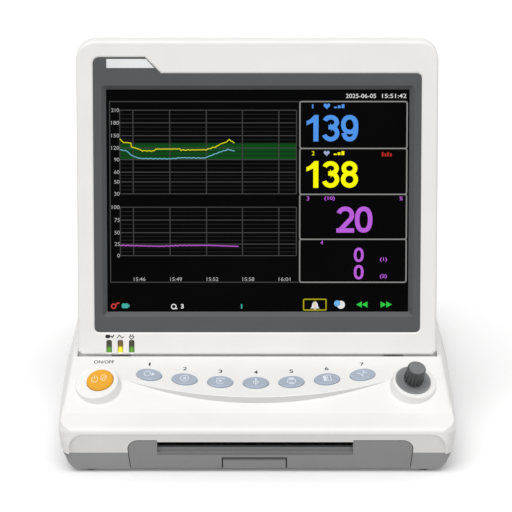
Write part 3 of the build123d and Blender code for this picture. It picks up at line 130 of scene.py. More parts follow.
def boss_face(side):
    x = BUTTON_X if side < 0 else KNOB_X
    return shift(x, BOSS_Y, BOSS_HEIGHT) @ turn(side * BOSS_ROLL, "Y") @ turn(BOSS_SLOPE, "X")


def key_places():
    """X, Y and turn of each key, on its arc."""
    radius = (KEY_SPREAD ** 2 + KEY_SAG ** 2) / (2 * KEY_SAG)
    places = []
    for index in range(KEY_COUNT):
        x = KEY_SPREAD * (2 * index / (KEY_COUNT - 1) - 1)
        y = KEY_ROW_Y + radius - math.sqrt(radius ** 2 - x ** 2)
        places.append((KEY_SHIFT + x, y, math.degrees(math.asin(x / radius))))
    return places


# Materials

def set_values(node, values):
    """Set a node's own sockets by name."""
    for name, value in values.items():
        node.inputs[name].default_value = value


def add_node(tree, kind, values=None, links=None):
    """A new node with its values set and its inputs linked, each by the socket's name or number."""
    node = tree.nodes.new("ShaderNode" + kind)
    set_values(node, values or {})
    for name, source in (links or {}).items():
        tree.links.new(source, node.inputs[name])
    return node


class Look:
    """A node material with its shader and short ways to add textures to it."""

    def __init__(self, name, roughness, metallic=0.0, specular=0.5):
        self.material = bpy.data.materials.new(name)
        self.material.use_nodes = True
        self.tree = self.material.node_tree
        self.shader = self.tree.nodes["Principled BSDF"]
        settings = {"Roughness": roughness, "Metallic": metallic, "Specular IOR Level": specular}
        set_values(self.shader, settings)
        self.coordinates = self.add("TexCoord")

    def add(self, kind, values=None, links=None):
        return add_node(self.tree, kind, values, links)

    def feed(self, name, socket):
        self.tree.links.new(socket, self.shader.inputs[name])

    def vector(self, stretch=(1, 1, 1), place=None, angles=(0, 0, 0)):
        source = {"Vector": self.coordinates.outputs["Object"]}
        mapping = self.add("Mapping", {"Scale": stretch, "Rotation": angles}, source)
        if place:
            mapping.vector_type = "TEXTURE"
            set_values(mapping, {"Location": place})
        return mapping.outputs["Vector"]

    def noise(self, grain, detail=3.0, vector=None):
        """Noise with grains of about that many millimetres."""
        values = {"Scale": 1 / (grain * METRES), "Detail": detail}
        return self.add("TexNoise", values, {"Vector": vector or self.vector()}).outputs["Fac"]

    def ramp(self, value, stops):
        """A colour ramp over (position, colour) stops."""
        node = self.add("ValToRGB", links={"Fac": value})
        while len(node.color_ramp.elements) < len(stops):
            node.color_ramp.elements.new(0.5)
        for element, (position, colour) in zip(node.color_ramp.elements, stops):
            element.position = position
            element.color = (*colour, 1.0)
        return node.outputs["Color"]

    def between(self, value, low, high, from_low=0.3, from_high=0.7):
        values = {"From Min": from_low, "From Max": from_high, "To Min": low, "To Max": high}
        return self.add("MapRange", values, {"Value": value}).outputs["Result"]

    def multiply(self, first, second):
        node = self.add("Mix")
        node.data_type = "RGBA"
        node.blend_type = "MULTIPLY"
        set_values(node, {"Factor": 1.0})
        self.tree.links.new(first, node.inputs["A"])
        self.tree.links.new(second, node.inputs["B"])
        return node.outputs["Result"]

    def bump(self, height, depth, strength):
        values = {"Strength": strength, "Distance": depth * METRES}
        self.feed("Normal", self.add("Bump", values, {"Height": height}).outputs["Normal"])

    def colour(self, socket):
        self.feed("Base Color", socket)

    def tint(self, value, colour, low, high, start=0.3, end=0.7):
        """Base colour between two shares of one colour."""
        self.colour(self.ramp(value, [(start, scaled(colour, low)), (end, scaled(colour, high))]))

    def gloss(self, value, low, high):
        """Roughness between two levels."""
        self.feed("Roughness", self.between(value, low, high))


def scaled(colour, factor):
    return tuple(min(channel * factor, 1.0) for channel in colour)


def plastic(name, colour, roughness=0.45, grain=0.5, bump=0.15, spread=0.015, specular=0.35):
    """Moulded plastic: a fine spark-eroded grain and a faint unevenness of colour and gloss."""
    look = Look(name, roughness, specular=specular)
    look.tint(look.noise(MOTTLE_GRAIN), colour, 1 - spread, 1 + spread)
    fine = look.noise(grain, detail=2.0)
    look.gloss(fine, roughness - 0.05, roughness + 0.06)
    look.bump(fine, 0.03, bump)
    return look.material


def turned_plastic(name, colour, place, angles, ring, top, lit_top_colour, roughness=0.42):
    """Plastic with fine rings about an axis, as a turned mould leaves, painted paler above one height:
    painted light on the top, where the lamp falls.
    """
    look = Look(name, roughness, specular=0.4)
    vector = look.vector(place=place, angles=angles)
    height = look.add("SeparateXYZ", links={"Vector": vector}).outputs["Z"]
    # Painted light: the colour turns paler above the top height
    level = look.between(height, 0.0, 1.0, (top - 0.4) * METRES, top * METRES)
    tone = look.ramp(level, [(0.0, colour), (1.0, lit_top_colour)])
    rings = look.add("TexWave", {"Scale": 1 / (ring * METRES), "Distortion": 0.3}, {"Vector": vector})
    rings.wave_type = "RINGS"
    rings.rings_direction = "Z"
    shade = look.ramp(rings.outputs["Fac"], [(0.2, (0.9, 0.9, 0.9)), (0.8, (1.0, 1.0, 1.0))])
    look.colour(look.multiply(tone, shade))
    look.bump(rings.outputs["Fac"], 0.04, 0.3)
    look.gloss(look.noise(0.6), roughness - 0.06, roughness + 0.08)
    return look.material


def metal(name, colour, roughness=0.32, stretch=(1, 14, 14)):
    """Brushed or rolled metal with streaks along one axis."""
    look = Look(name, roughness, metallic=1.0)
    streaks = look.noise(3.0, detail=4.0, vector=look.vector(stretch))
    look.tint(streaks, colour, 0.88, 1.06)
    look.gloss(streaks, roughness - 0.07, roughness + 0.1)
    look.bump(streaks, 0.01, 0.2)
    return look.material


def rubber(name, colour=(0.022, 0.022, 0.023)):
    """Dull rubber with pale dust."""
    look = Look(name, 0.75, specular=0.3)
    look.tint(look.noise(5.0, detail=6.0), colour, 1.0, 2.4, 0.35, 0.8)
    fine = look.noise(0.4)
    look.gloss(fine, 0.66, 0.86)
    look.bump(fine, 0.05, 0.4)
    return look.material


def board(name):
    """A green lacquered circuit board with copper tracks under the lacquer."""
    look = Look(name, 0.35)
    tracks = look.add("TexBrick", {
        "Scale": 120.0, "Mortar Size": 0.03, "Color1": (0.010, 0.095, 0.035, 1),
        "Color2": (0.014, 0.120, 0.045, 1), "Mortar": (0.060, 0.240, 0.090, 1),
    }, {"Vector": look.vector()})
    look.colour(tracks.outputs["Color"])
    look.gloss(look.noise(2.0), 0.28, 0.45)
    return look.material


def glass(name):
    """The dark matt-coated screen: nearly black, with faint unevenness of its gloss."""
    look = Look(name, 0.3, specular=0.02)
    smear = look.noise(35.0, detail=4.0)
    look.colour(look.ramp(smear, [(0.3, (0.0008, 0.0008, 0.0010)), (0.7, (0.0014, 0.0014, 0.0016))]))
    look.gloss(smear, 0.24, 0.38)
    return look.material


def lit(name, colour):
    """Lit picture elements on the screen, with the faint lattice of the panel."""
    look = Look(name, 0.5, specular=0.0)
    set_values(look.shader, {"Base Color": (0.0, 0.0, 0.0, 1.0), "Emission Strength": 1.0})
    dimmer = (*scaled(colour, 0.9), 1.0)
    values = {"Scale": 1 / (PIXEL * METRES), "Color1": (*colour, 1.0), "Color2": dimmer}
    lattice = look.add("TexChecker", values, {"Vector": look.vector()})
    look.feed("Emission Color", lattice.outputs["Color"])
    return look.material


def ink(name, colour):
    """Printed ink: slightly uneven cover."""
    look = Look(name, 0.5, specular=0.3)
    cover = look.noise(0.3)
    look.tint(cover, colour, 0.85, 1.2)
    look.gloss(cover, 0.42, 0.6)
    return look.material


def indicator(name, lit_colour, dark_colour, strength):
    """An indicator lens: its lamp lights the lower part, and the upper part stays dark."""
    look = Look(name, 0.25, specular=0.5)
    split = look.add("SeparateXYZ", links={"Vector": look.coordinates.outputs["Generated"]})
    up = look.ramp(split.outputs["Z"], [(0.42, lit_colour), (0.62, (0.0, 0.0, 0.0))])
    dim = (0.25, 0.25, 0.25)
    full = (1.0, 1.0, 1.0)
    across = look.ramp(split.outputs["X"], [(0.0, dim), (0.4, full), (0.6, full), (1.0, dim)])
    look.colour(look.ramp(split.outputs["Z"], [(0.35, scaled(lit_colour, 0.3)), (0.65, dark_colour)]))
    look.feed("Emission Color", look.multiply(up, across))
    set_values(look.shader, {"Emission Strength": strength})
    look.gloss(look.noise(1.0), 0.2, 0.32)
    return look.material


# Meshes

def new_object(name, data):
    thing = bpy.data.objects.new(name, data)
    bpy.context.scene.collection.objects.link(thing)
    return thing


def make_piece(name, vertices, faces, place, material, body, slot, smooth=False):
    """A mesh from points in millimetres in a place's own frame, riding on a body."""
    mesh = bpy.data.meshes.new(name)
    mesh.from_pydata([METRES * (place @ Vector(point)) for point in vertices], [], faces)
    mesh.materials.append(material)
    mesh.validate()
    for polygon in mesh.polygons:
        polygon.use_smooth = smooth
    piece = new_object(name, mesh)
    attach(piece, body)
    return piece


def oval(centre, half_width, half_height, start, end, squareness=1.0, count=28):
    """Points on an oval between two angles in degrees, squarer as the exponent falls below one."""
    points = []
    for index in range(count + 1):
        angle = math.radians(start + (end - start) * index / count)
        across = math.copysign(abs(math.cos(angle)) ** squareness, math.cos(angle))
        up = math.copysign(abs(math.sin(angle)) ** squareness, math.sin(angle))
        points.append((centre[0] + half_width * across, centre[1] + half_height * up))
    return points[:-1] + points[:1] if end - start == 360 else points


def arc_points(centre, radius, start, end, count):
    return oval(centre, radius, radius, start, end, 1.0, count)


def rounded(x_low, x_high, y_low, y_high, radius, count=4):
    """The outline of a rectangle with round corners."""
    left = x_low + radius
    right = x_high - radius
    low = y_low + radius
    high = y_high - radius
    outline = []
    for start, centre in ((0, (right, high)), (90, (left, high)), (180, (left, low)), (270, (right, low))):
        outline += arc_points(centre, radius, start, start + 90, count)
    return outline


# Shapes of the digits: shares of their height or width, how square they are, and where bows start and end
WAIST = 0.54
LONG_SQUARENESS = 0.86
TWO_RISE = 0.29
TWO_SQUARENESS = 0.95
TWO_BOW = (165, -38)
TWO_FOOT = 0.75
THREE_WIDTH = 0.93
THREE_UPPER_BOW = (162, -90)
THREE_LOWER_BOW = (90, -164)
THREE_ARM = 0.35
EIGHT_WIDTH = 0.9
NINE_RISE = 0.335
NINE_SQUARENESS = 0.92
NINE_BOW = (60, -158)


def digit_lines(digit, x_low, x_high, y_low, y_high, stroke):
    """Middle lines of the strokes of the digits 0, 2, 3, 8 and 9."""
    middle = (x_low + x_high) / 2
    half = (x_high - x_low - stroke) / 2
    top = y_high - stroke / 2
    foot = y_low + stroke / 2
    waist = y_low + WAIST * (y_high - y_low)
    centre = (middle, (top + foot) / 2)
    tall = (top - foot) / 2
    upper = (middle, (top + waist) / 2)
    lower = (middle, (foot + waist) / 2)
    upper_half = (top - waist) / 2
    lower_half = (waist - foot) / 2
    if digit == "0":
        return [oval(centre, half, tall, 0, 360, LONG_SQUARENESS)]
    if digit == "2":
        rise = TWO_RISE * 2 * tall
        bow = oval((middle, top - rise), half, rise, *TWO_BOW, TWO_SQUARENESS)
        return [bow + [(x_low + TWO_FOOT * stroke, foot)]]
    if digit == "3":
        bow = oval(upper, THREE_WIDTH * half, upper_half, *THREE_UPPER_BOW)
        arm = [(middle - THREE_ARM * half, waist), (middle, waist)]
        return [bow + oval(lower, half, lower_half, *THREE_LOWER_BOW), arm]
    if digit == "8":
        small = oval(upper, EIGHT_WIDTH * half, upper_half, 0, 360)
        return [small, oval(lower, half, lower_half, 0, 360)]
    if digit == "9":
        rise = NINE_RISE * 2 * tall
        ring = oval((middle, top - rise), half, rise, 0, 360, NINE_SQUARENESS)
        return [ring, oval(centre, half, tall, *NINE_BOW, LONG_SQUARENESS)]
    return []


STEM_SHARE = 1.12
ONE_SHARE = 0.3
BAR_PITCH = 3.1
BAR_WIDTH = 2.3
BAR_LOW = 1.2
BAR_STEP = 1.0


class Drawing:
    """Flat shapes on one plane, in millimetres, gathered into one mesh."""

    def __init__(self, lift):
        self.lift = lift
        self.vertices = []
        self.faces = []

    def shape(self, points):
        first = len(self.vertices)
        self.vertices += [(x, y, self.lift) for x, y in points]
        self.faces.append(tuple(range(first, first + len(points))))

    def box(self, x_low, x_high, y_low, y_high):
        self.shape([(x_low, y_low), (x_high, y_low), (x_high, y_high), (x_low, y_high)])

    def round_box(self, x_low, x_high, y_low, y_high, radius):
        self.shape(rounded(x_low, x_high, y_low, y_high, radius))

    def round_line(self, x_low, x_high, y_low, y_high, radius, width):
        self.ribbon(rounded(x_low, x_high, y_low, y_high, radius), width, closed=True)

    def disc(self, x, y, radius, count=20):
        self.shape(arc_points((x, y), radius, 0, 360, count)[:-1])

    def ribbon(self, points, width, closed=False):
        """A line of even width with mitred corners."""
        first = len(self.vertices)
        points = points[:-1] if closed and points[0] == points[-1] else points
        count = len(points)
        for index in range(count):
            before = Vector(points[index - 1]) if index or closed else None
            here = Vector(points[index])
            after = Vector(points[(index + 1) % count]) if index < count - 1 or closed else None
            ahead = (after - here).normalized() if after else (here - before).normalized()
            behind = (here - before).normalized() if before else ahead
            across = Vector((-(ahead.y + behind.y), ahead.x + behind.x))
            across = across.normalized() if across.length > 0.1 else Vector((-ahead.y, ahead.x))
            stretch = max(across.dot(Vector((-ahead.y, ahead.x))), 0.5)
            offset = across * (width / 2 / stretch)
            self.vertices += [(*(here + offset), self.lift), (*(here - offset), self.lift)]
        for index in range(count if closed else count - 1):
            near = first + 2 * index
            far = first + 2 * ((index + 1) % count)
            self.faces.append((near, near + 1, far + 1, far))

    def ring(self, x, y, radius, width, start=0, end=360, count=24):
        points = arc_points((x, y), radius, start, end, count)
        self.ribbon(points, width, closed=end - start == 360)

    def text(self, words, x_low, x_high, y_low, y_high, weight=0.02):
        """Plain numerals or letters in the built-in type, stretched to fill a rectangle."""
        curve = bpy.data.curves.new("numerals", "FONT")
        curve.body = words
        curve.size = 1.0
        curve.offset = weight
        curve.resolution_u = 4
        holder = new_object("numerals", curve)
        mesh = bpy.data.meshes.new_from_object(holder)
        across = [v.co.x for v in mesh.vertices]
        up = [v.co.y for v in mesh.vertices]
        x_scale = (x_high - x_low) / (max(across) - min(across))
        y_scale = (y_high - y_low) / (max(up) - min(up))
        first = len(self.vertices)
        for vertex in mesh.vertices:
            x = x_low + (vertex.co.x - min(across)) * x_scale
            y = y_low + (vertex.co.y - min(up)) * y_scale
            self.vertices.append((x, y, self.lift))
        self.faces += [tuple(first + i for i in polygon.vertices) for polygon in mesh.polygons]
        bpy.data.objects.remove(holder)
        bpy.data.curves.remove(curve)
        bpy.data.meshes.remove(mesh)

    def digits(self, marks, y_low, y_high, stroke):
        """Large readings: each mark is a digit with its left and right edge."""
        for digit, x_low, x_high in marks:
            for line in digit_lines(digit, x_low, x_high, y_low, y_high, stroke):
                self.ribbon(line, stroke, closed=line[0] == line[-1])
            if digit == "1":
                stem = STEM_SHARE * stroke
                foot = x_high - stem
                fall = y_high - y_low
                flag = (foot + x_low) / 2
                self.shape([(foot, y_low), (x_high, y_low), (x_high, y_high), (x_high - 0.8 * stem, y_high),
                            (flag, y_high - 0.17 * fall), (x_low, y_high - 0.23 * fall),
                            (x_low, y_high - 0.39 * fall), (foot, y_high - 0.27 * fall)])
            if digit == "2":
                self.box(x_low, x_high, y_low, y_low + stroke)

    def numeral(self, words, x, y, height, weight=0.006, width_share=0.62):
        """Numerals that begin at x: the width follows from their count."""
        width = height * (ONE_SHARE if words == "1" else width_share * len(words))
        self.text(words, x, x + width, y, y + height, weight)

    def heart(self, x, y, size):
        points = []
        for index in range(24):
            t = 2 * math.pi * index / 24
            across = 16 * math.sin(t) ** 3
            up = 13 * math.cos(t) - 5 * math.cos(2 * t) - 2 * math.cos(3 * t) - math.cos(4 * t)
            points.append((x - across * size / 32, y + up * size / 32))
        self.shape(points)

    def bell(self, x, y, size):
        half = size / 2
        side = [(-1.0, -0.7), (-0.7, -0.3), (-0.6, 0.4), (-0.25, 0.85)]
        outline = side + [(-across, up) for across, up in reversed(side)]
        self.shape([(x + half * across, y + half * up) for across, up in outline])
        self.disc(x, y - half * 0.85, half * 0.22, 10)

    def triangle(self, x, y, width, height):
        """A triangle that points along +X, or -X where its width is negative."""
        self.shape([(x, y - height / 2), (x + width, y), (x, y + height / 2)])

    def bars(self, x, y):
        """Three signal bars, each a step higher than the last."""
        for index in range(3):
            left = x + BAR_PITCH * index
            self.box(left, left + BAR_WIDTH, y, y + BAR_LOW + BAR_STEP * index)

    def finish(self, name, place, material, body, slot):
        return make_piece(name, self.vertices, self.faces, place, material, body, slot)


def marked(name, lift, marks, place, material, body, slot):
    """A piece drawn from marks, each written as a method of Drawing and its values."""
    drawing = Drawing(lift)
    for method, *values in marks:
        method(drawing, *values)
    drawing.finish(name, place, material, body, slot)


class Shell:
    """Loops of points joined by faces, in a place's own frame."""

    def __init__(self):
        self.vertices = []
        self.faces = []

    def loop(self, points, height):
        first = len(self.vertices)
        self.vertices += [(x, y, height) for x, y in points]
        return list(range(first, first + len(points)))

    def join(self, outer, inner):
        count = len(outer)
        for index in range(count):
            after = (index + 1) % count
            self.faces.append((outer[index], outer[after], inner[after], inner[index]))

    def wall(self, points, first, second):
        """One outline at two heights, joined."""
        loops = self.loop(points, first), self.loop(points, second)
        self.join(*loops)
        return loops

    def fill(self, outer, holes, reverse=False):
        """A flat face between an outer loop and its holes."""
        rings = [outer] + holes
        order = [index for ring in rings for index in ring]
        corners = tessellate_polygon([[Vector(self.vertices[index]) for index in ring] for ring in rings])
        for corner in corners:
            face = tuple(order[index] for index in corner)
            across = Vector(self.vertices[face[1]]) - Vector(self.vertices[face[0]])
            along = Vector(self.vertices[face[2]]) - Vector(self.vertices[face[0]])
            upward = across.cross(along).z > 0
            self.faces.append(face if upward != reverse else tuple(reversed(face)))


def stacked_rings(outlines):
    """A closed skin through outlines of equal length, with both ends capped."""
    shell = Shell()
    loops = [shell.loop(points, height) for points, height in outlines]
    for lower, upper in zip(loops, loops[1:]):
        shell.join(lower, upper)
    shell.faces += [tuple(reversed(loops[0])), tuple(loops[-1])]
    return shell.vertices, shell.faces


def turned(profile, count=32):
    """A closed skin of revolution about Z through (radius, height) points."""
    circles = [(arc_points((0, 0), radius, 0, 360, count)[:-1], height) for radius, height in profile]
    return stacked_rings(circles)


# Screen contents

UPPER_LINES = [202.7, 192.3, 181.8, 171.6, 162.0, 151.7, 143.6, 133.7]
LOWER_LINES = [122.6, 112.0, 101.5, 92.0, 82.4]
GRID_COLUMNS = [-101.0, -71.2, -41.4, -12.1, 17.5]
GRID_LEFT = -111.8
GRID_RIGHT = 31.9
GRID_BAND = (162.3, 175.8)
MINOR_SHARES = (1 / 3, 2 / 3)
MINOR_HALF = 0.35
MAJOR_HALF = 0.4
BOX_LINES = [209.8, 171.2, 133.3, 96.0, 60.2]
BOX_LEFT = 34.6
BOX_RIGHT = 121.6
BOX_CORNER = 1.6
BOX_LINE = 1.1
FRAME_LEFT = -119.9
UPPER_LABELS = ("210", "180", "150", "120", "90", "60", "50", "30")
LOWER_LABELS = ("100", "75", "50", "25", "0")
SCALE_DIGIT = 2.15
SCALE_DROP = 1.5
SCALE_RISE = 1.6
SCALE_WEIGHT = 0.002
TIME_LABELS = ("15:46", "15:49", "15:52", "15:58", "16:01")
TIME_LINE = 61.2
TIME_WIDTH = 9.6
TIME_RISE = 3.1


def screen(drawing, name, colour):
    return drawing.finish(name, display_face(SCREEN_DEPTH), lit(name, colour), "display", "screen_glass")


def screen_grids():
    """Both charts' grids: major lines, two minor lines between them, and time columns."""
    band = Drawing(LIGHT_LIFT)
    band.box(GRID_LEFT, GRID_RIGHT, *GRID_BAND)
    screen(band, "chart_band", (0.004, 0.072, 0.010))
    minor = Drawing(2 * LIGHT_LIFT)
    major = Drawing(3 * LIGHT_LIFT)
    for lines in (UPPER_LINES, LOWER_LINES):
        for upper, lower in zip(lines, lines[1:]):
            for share in MINOR_SHARES:
                level = upper + (lower - upper) * share
                minor.box(GRID_LEFT, GRID_RIGHT, level - MINOR_HALF, level + MINOR_HALF)
        for level in lines:
            major.box(GRID_LEFT, GRID_RIGHT, level - MAJOR_HALF, level + MAJOR_HALF)
        for column in GRID_COLUMNS + [GRID_LEFT, GRID_RIGHT]:
            major.box(column - MAJOR_HALF, column + MAJOR_HALF, lines[-1], lines[0])
    top, foot = BOX_LINES[0], BOX_LINES[-1]
    major.ribbon([(BOX_LEFT, top), (FRAME_LEFT, top), (FRAME_LEFT, foot), (BOX_LEFT, foot)], 2 * MAJOR_HALF)
    screen(minor, "chart_minor_lines", (0.016, 0.016, 0.016))
    screen(major, "chart_major_lines", (0.055, 0.055, 0.055))


def screen_scales():
    """Numbers of the two scales and of the time columns."""
    scale = Drawing(3 * LIGHT_LIFT)
    right = GRID_LEFT - MAJOR_HALF
    for labels, lines in ((UPPER_LABELS, UPPER_LINES), (LOWER_LABELS, LOWER_LINES)):
        for label, level in zip(labels, lines):
            left = right - SCALE_DIGIT * len(label)
            scale.text(label, left, right, level - SCALE_DROP, level + SCALE_RISE, SCALE_WEIGHT)
    for label, column in zip(TIME_LABELS, GRID_COLUMNS):
        scale.text(label, column, column + TIME_WIDTH, TIME_LINE, TIME_LINE + TIME_RISE, SCALE_WEIGHT)
    screen(scale, "scale_numbers", (0.42, 0.42, 0.42))


# Name, colour, width, wobble, seed of the wobble, and points
TRACES = (
    ("trace_yellow", (0.75, 0.72, 0.01), 0.75, 0.45, 0.4, (
        (-111.6, 179.2), (-108.5, 175.9), (-102.9, 176.0), (-102.3, 172.5), (-97.4, 171.0), (-93.5, 169.3),
        (-83.6, 169.2), (-82.6, 170.7), (-63.0, 170.8), (-62.0, 169.9), (-41.5, 170.2), (-33.0, 172.9),
        (-28.5, 175.6), (-25.0, 177.0), (-22.9, 178.8), (-18.7, 175.6))),
    ("trace_blue", (0.16, 0.47, 0.62), 0.75, 0.4, 1.9, (
        (-111.6, 170.4), (-105.8, 168.9), (-101.5, 165.0), (-97.6, 163.8), (-94.0, 162.9), (-70.0, 162.7),
        (-62.0, 163.6), (-43.0, 163.3), (-30.0, 168.4), (-24.0, 170.3), (-18.4, 169.3))),
    ("trace_purple", (0.47, 0.10, 0.60), 0.95, 0.3, 2.7, (
        (-111.8, 91.0), (-80.0, 90.2), (-62.0, 90.9), (-40.0, 91.0), (-15.3, 90.1))),
)
TRACE_STEP = 1.2
FAST_WOBBLE = 5.1
SLOW_WOBBLE = 1.7


def trace(points, jitter, seed):
    """A trace through points with a small even wobble between them."""
    line = []
    for (x_near, y_near), (x_far, y_far) in zip(points, points[1:]):
        steps = max(int((x_far - x_near) / TRACE_STEP), 1)
        for step in range(steps):
            share = step / steps
            x = x_near + (x_far - x_near) * share
            wobble = jitter * math.sin(seed + FAST_WOBBLE * x) * math.sin(0.7 * seed + SLOW_WOBBLE * x)
            line.append((x, y_near + (y_far - y_near) * share + wobble))
    return line + [points[-1]]


def screen_traces():
    for name, colour, width, jitter, seed, points in TRACES:
        drawing = Drawing(4 * LIGHT_LIFT)
        drawing.ribbon(trace(points, jitter, seed), width)
        screen(drawing, name, colour)


def screen_boxes():
    """Outlines of the four boxes on the right."""
    boxes = Drawing(3 * LIGHT_LIFT)
    for upper, lower in zip(BOX_LINES, BOX_LINES[1:]):
        boxes.round_line(BOX_LEFT, BOX_RIGHT, lower, upper, BOX_CORNER, BOX_LINE)
    screen(boxes, "box_outlines", (0.26, 0.26, 0.25))


BIG_STROKE = 3.7
SMALL_STROKE = 2.1
SMALL_LINE = 3.4
ROW_LINE = 3.8

# The readings with their small numbers and signs, the clock in the top row, and the signs in the bottom row:
# name, layer, colour and marks
SCREEN_MARKS = (
    ("reading_blue", 3, (0.085, 0.31, 0.85), (
        (Drawing.digits, (("1", 40.0, 49.7), ("3", 52.5, 66.7), ("9", 68.0, 82.0)), 177.0, 198.8, BIG_STROKE),
        (Drawing.numeral, "1", 44.4, 204.2, SMALL_LINE),
        (Drawing.heart, 56.4, 206.2, 5.4),
        (Drawing.bars, 62.2, 204.4))),
    ("reading_yellow", 3, (1.0, 1.0, 0.0), (
        (Drawing.digits, (("1", 40.0, 49.7), ("3", 52.5, 66.7), ("8", 68.0, 82.0)), 138.7, 160.8, BIG_STROKE),
        (Drawing.numeral, "2", 44.4, 165.6, SMALL_LINE),
        (Drawing.bars, 62.2, 165.8))),
    ("heart_pale", 3, (0.33, 0.42, 0.60), ((Drawing.heart, 56.4, 167.4, 5.0),)),
    ("mark_red", 3, (0.45, 0.025, 0.02), (
        (Drawing.box, 101.2, 102.7, 164.6, 168.2),
        (Drawing.box, 103.4, 104.9, 164.6, 167.2),
        (Drawing.box, 105.6, 107.1, 164.6, 168.2),
        (Drawing.box, 107.8, 109.3, 164.6, 167.2))),
    ("reading_purple", 3, (0.52, 0.12, 0.74), (
        (Drawing.digits, (("2", 64.5, 79.0), ("0", 79.6, 93.9)), 101.5, 123.2, BIG_STROKE),
        (Drawing.digits, (("0", 78.9, 86.9),), 77.1, 89.0, SMALL_STROKE),
        (Drawing.digits, (("0", 78.9, 86.9),), 62.6, 74.6, SMALL_STROKE),
        (Drawing.text, "(10)", 54.7, 63.2, 127.9, 131.6),
        (Drawing.numeral, "3", 40.2, 128.2, SMALL_LINE),
        (Drawing.numeral, "%", 115.9, 128.2, SMALL_LINE, 0.02, 0.75),
        (Drawing.numeral, "4", 51.6, 91.6, SMALL_LINE),
        (Drawing.text, "(1)", 100.2, 106.0, 77.2, 80.9),
        (Drawing.text, "(2)", 100.2, 106.0, 63.2, 66.9))),
    ("signs_white", 3, (0.80, 0.80, 0.80), (
        (Drawing.text, "2025-06-05", 71.9, 96.3, 212.7, 216.2, 0.004),
        (Drawing.text, "15:51:42", 101.2, 120.9, 212.7, 216.2, 0.004),
        (Drawing.ring, -68.4, 39.9, 1.9, 0.8, 0, 360, 14),
        (Drawing.box, -69.8, -65.4, 37.8, 38.6),
        (Drawing.numeral, "3", -62.6, 38.2, ROW_LINE, 0.03),
        (Drawing.bell, 47.2, 40.9, 7.4),
        (Drawing.disc, 68.4, 41.4, 3.4))),
    ("signs_teal", 3, (0.06, 0.42, 0.36), (
        (Drawing.round_box, -111.0, -105.6, 38.5, 42.5, 1.0),
        (Drawing.box, -105.6, -104.6, 39.6, 41.4),
        (Drawing.numeral, "1", -13.4, 38.2, ROW_LINE, 0.03))),
    ("signs_red", 3, (0.62, 0.06, 0.05), (
        (Drawing.ring, -117.6, 40.2, 1.8, 1.0, 0, 360, 16),
        (Drawing.ribbon, ((-116.0, 41.2), (-114.6, 42.8), (-112.8, 42.8)), 1.0))),
    ("signs_amber", 3, (0.42, 0.38, 0.01), ((Drawing.round_line, 37.9, 56.3, 37.0, 46.0, 0.8, 1.0),)),
    ("sign_wick", 4, (0.55, 0.38, 0.01), ((Drawing.box, 46.9, 47.5, 36.6, 44.9),)),
    ("sign_sky", 4, (0.16, 0.47, 0.85), ((Drawing.disc, 65.4, 42.5, 2.6),)),
    ("arrows_green", 3, (0.03, 0.60, 0.06), (
        (Drawing.triangle, 85.6, 41.6, -4.6, 5.2),
        (Drawing.triangle, 90.2, 41.6, -4.6, 5.2),
        (Drawing.triangle, 101.0, 41.6, 4.6, 5.2),
        (Drawing.triangle, 105.6, 41.6, 4.6, 5.2))),
)


def screen_marks():
    for name, layer, colour, marks in SCREEN_MARKS:
        place = display_face(SCREEN_DEPTH)
        marked(name, layer * LIGHT_LIFT, marks, place, lit(name, colour), "display", "screen_glass")


# Marks on the housing

KEY_NUMBER_GAP = 12.0
LABEL_HEIGHT = 4.2
LABEL_WEIGHT = 0.012
ON_OFF_PLACE = (-125.4, -107.2)
ON_OFF_HALF = 8.2
ONE_HALF = 0.7
NUMBER_HALF = 1.6
POWER_TOP = 1.9
KEY_STRETCH = (1.35, 1.6, 1.0, 1.0)
POWER_STRETCH = (1.12, 1.45, 1.0, 1.0)

INDICATOR_SIGNS = (
    (Drawing.round_box, -124.5, -120.3, 14.2, 17.2, 1.4),
    (Drawing.ribbon, ((-120.0, 16.2), (-118.8, 15.0), (-117.4, 17.0)), 0.9),
    (Drawing.ribbon, ((-115.0, 14.4), (-112.9, 16.8), (-110.7, 14.4), (-109.2, 15.6)), 0.6),
    (Drawing.ring, -102.9, 15.6, 1.8, 0.6, 180, 360, 10),
    (Drawing.box, -104.9, -100.9, 15.6, 16.2),
    (Drawing.box, -104.1, -103.5, 16.2, 17.6),
    (Drawing.box, -102.3, -101.7, 16.2, 17.6),
    (Drawing.box, -103.2, -102.6, 13.0, 13.9),
)

# One small plain sign for each key's cap
KEY_SIGNS = (
    ((Drawing.ring, -1.1, 0, 1.9, 0.5), (Drawing.triangle, 1.6, 0, 2.2, 2.8)),
    ((Drawing.ring, 0, 0, 2.4, 0.5), (Drawing.bell, 0, 0, 2.4)),
    ((Drawing.ring, 0, 0, 2.3, 0.5, 30, 330), (Drawing.disc, 0, 0, 0.9),
     (Drawing.triangle, 1.6, 1.6, 1.5, 1.6)),
    ((Drawing.disc, 0, 2.0, 0.7), (Drawing.box, -0.35, 0.35, -2.6, 1.1), (Drawing.box, -1.5, -0.9, -1.4, 0.6),
     (Drawing.box, 0.9, 1.5, -1.4, 0.6)),
    ((Drawing.round_line, -2.4, 2.4, -1.6, 1.0, 0.4, 0.45), (Drawing.box, -1.5, 1.5, 1.3, 2.6),
     (Drawing.box, -1.5, 1.5, -2.6, -1.0)),
    ((Drawing.box, -2.3, -0.4, -2.2, 2.2), (Drawing.round_line, 0.3, 2.3, -2.2, 2.2, 0.3, 0.45)),
    ((Drawing.ribbon, ((-3.2, 0.6), (-1.6, 0.6), (-0.4, -2.2), (1.0, 2.6), (1.9, 0.6), (3.2, 0.6)), 0.6),),
)

# The power sign and a lamp sign, side by side
POWER_SIGNS = (
    (Drawing.ring, -3.6, 0.6, 2.2, 0.55, 120, 420),
    (Drawing.box, -3.9, -3.3, 0.8, 3.6),
    (Drawing.ring, 3.0, 0.6, 2.1, 0.5),
    (Drawing.ribbon, ((1.6, -0.6), (2.6, 0.6), (3.4, 0.2), (4.6, 1.6)), 0.5),
)


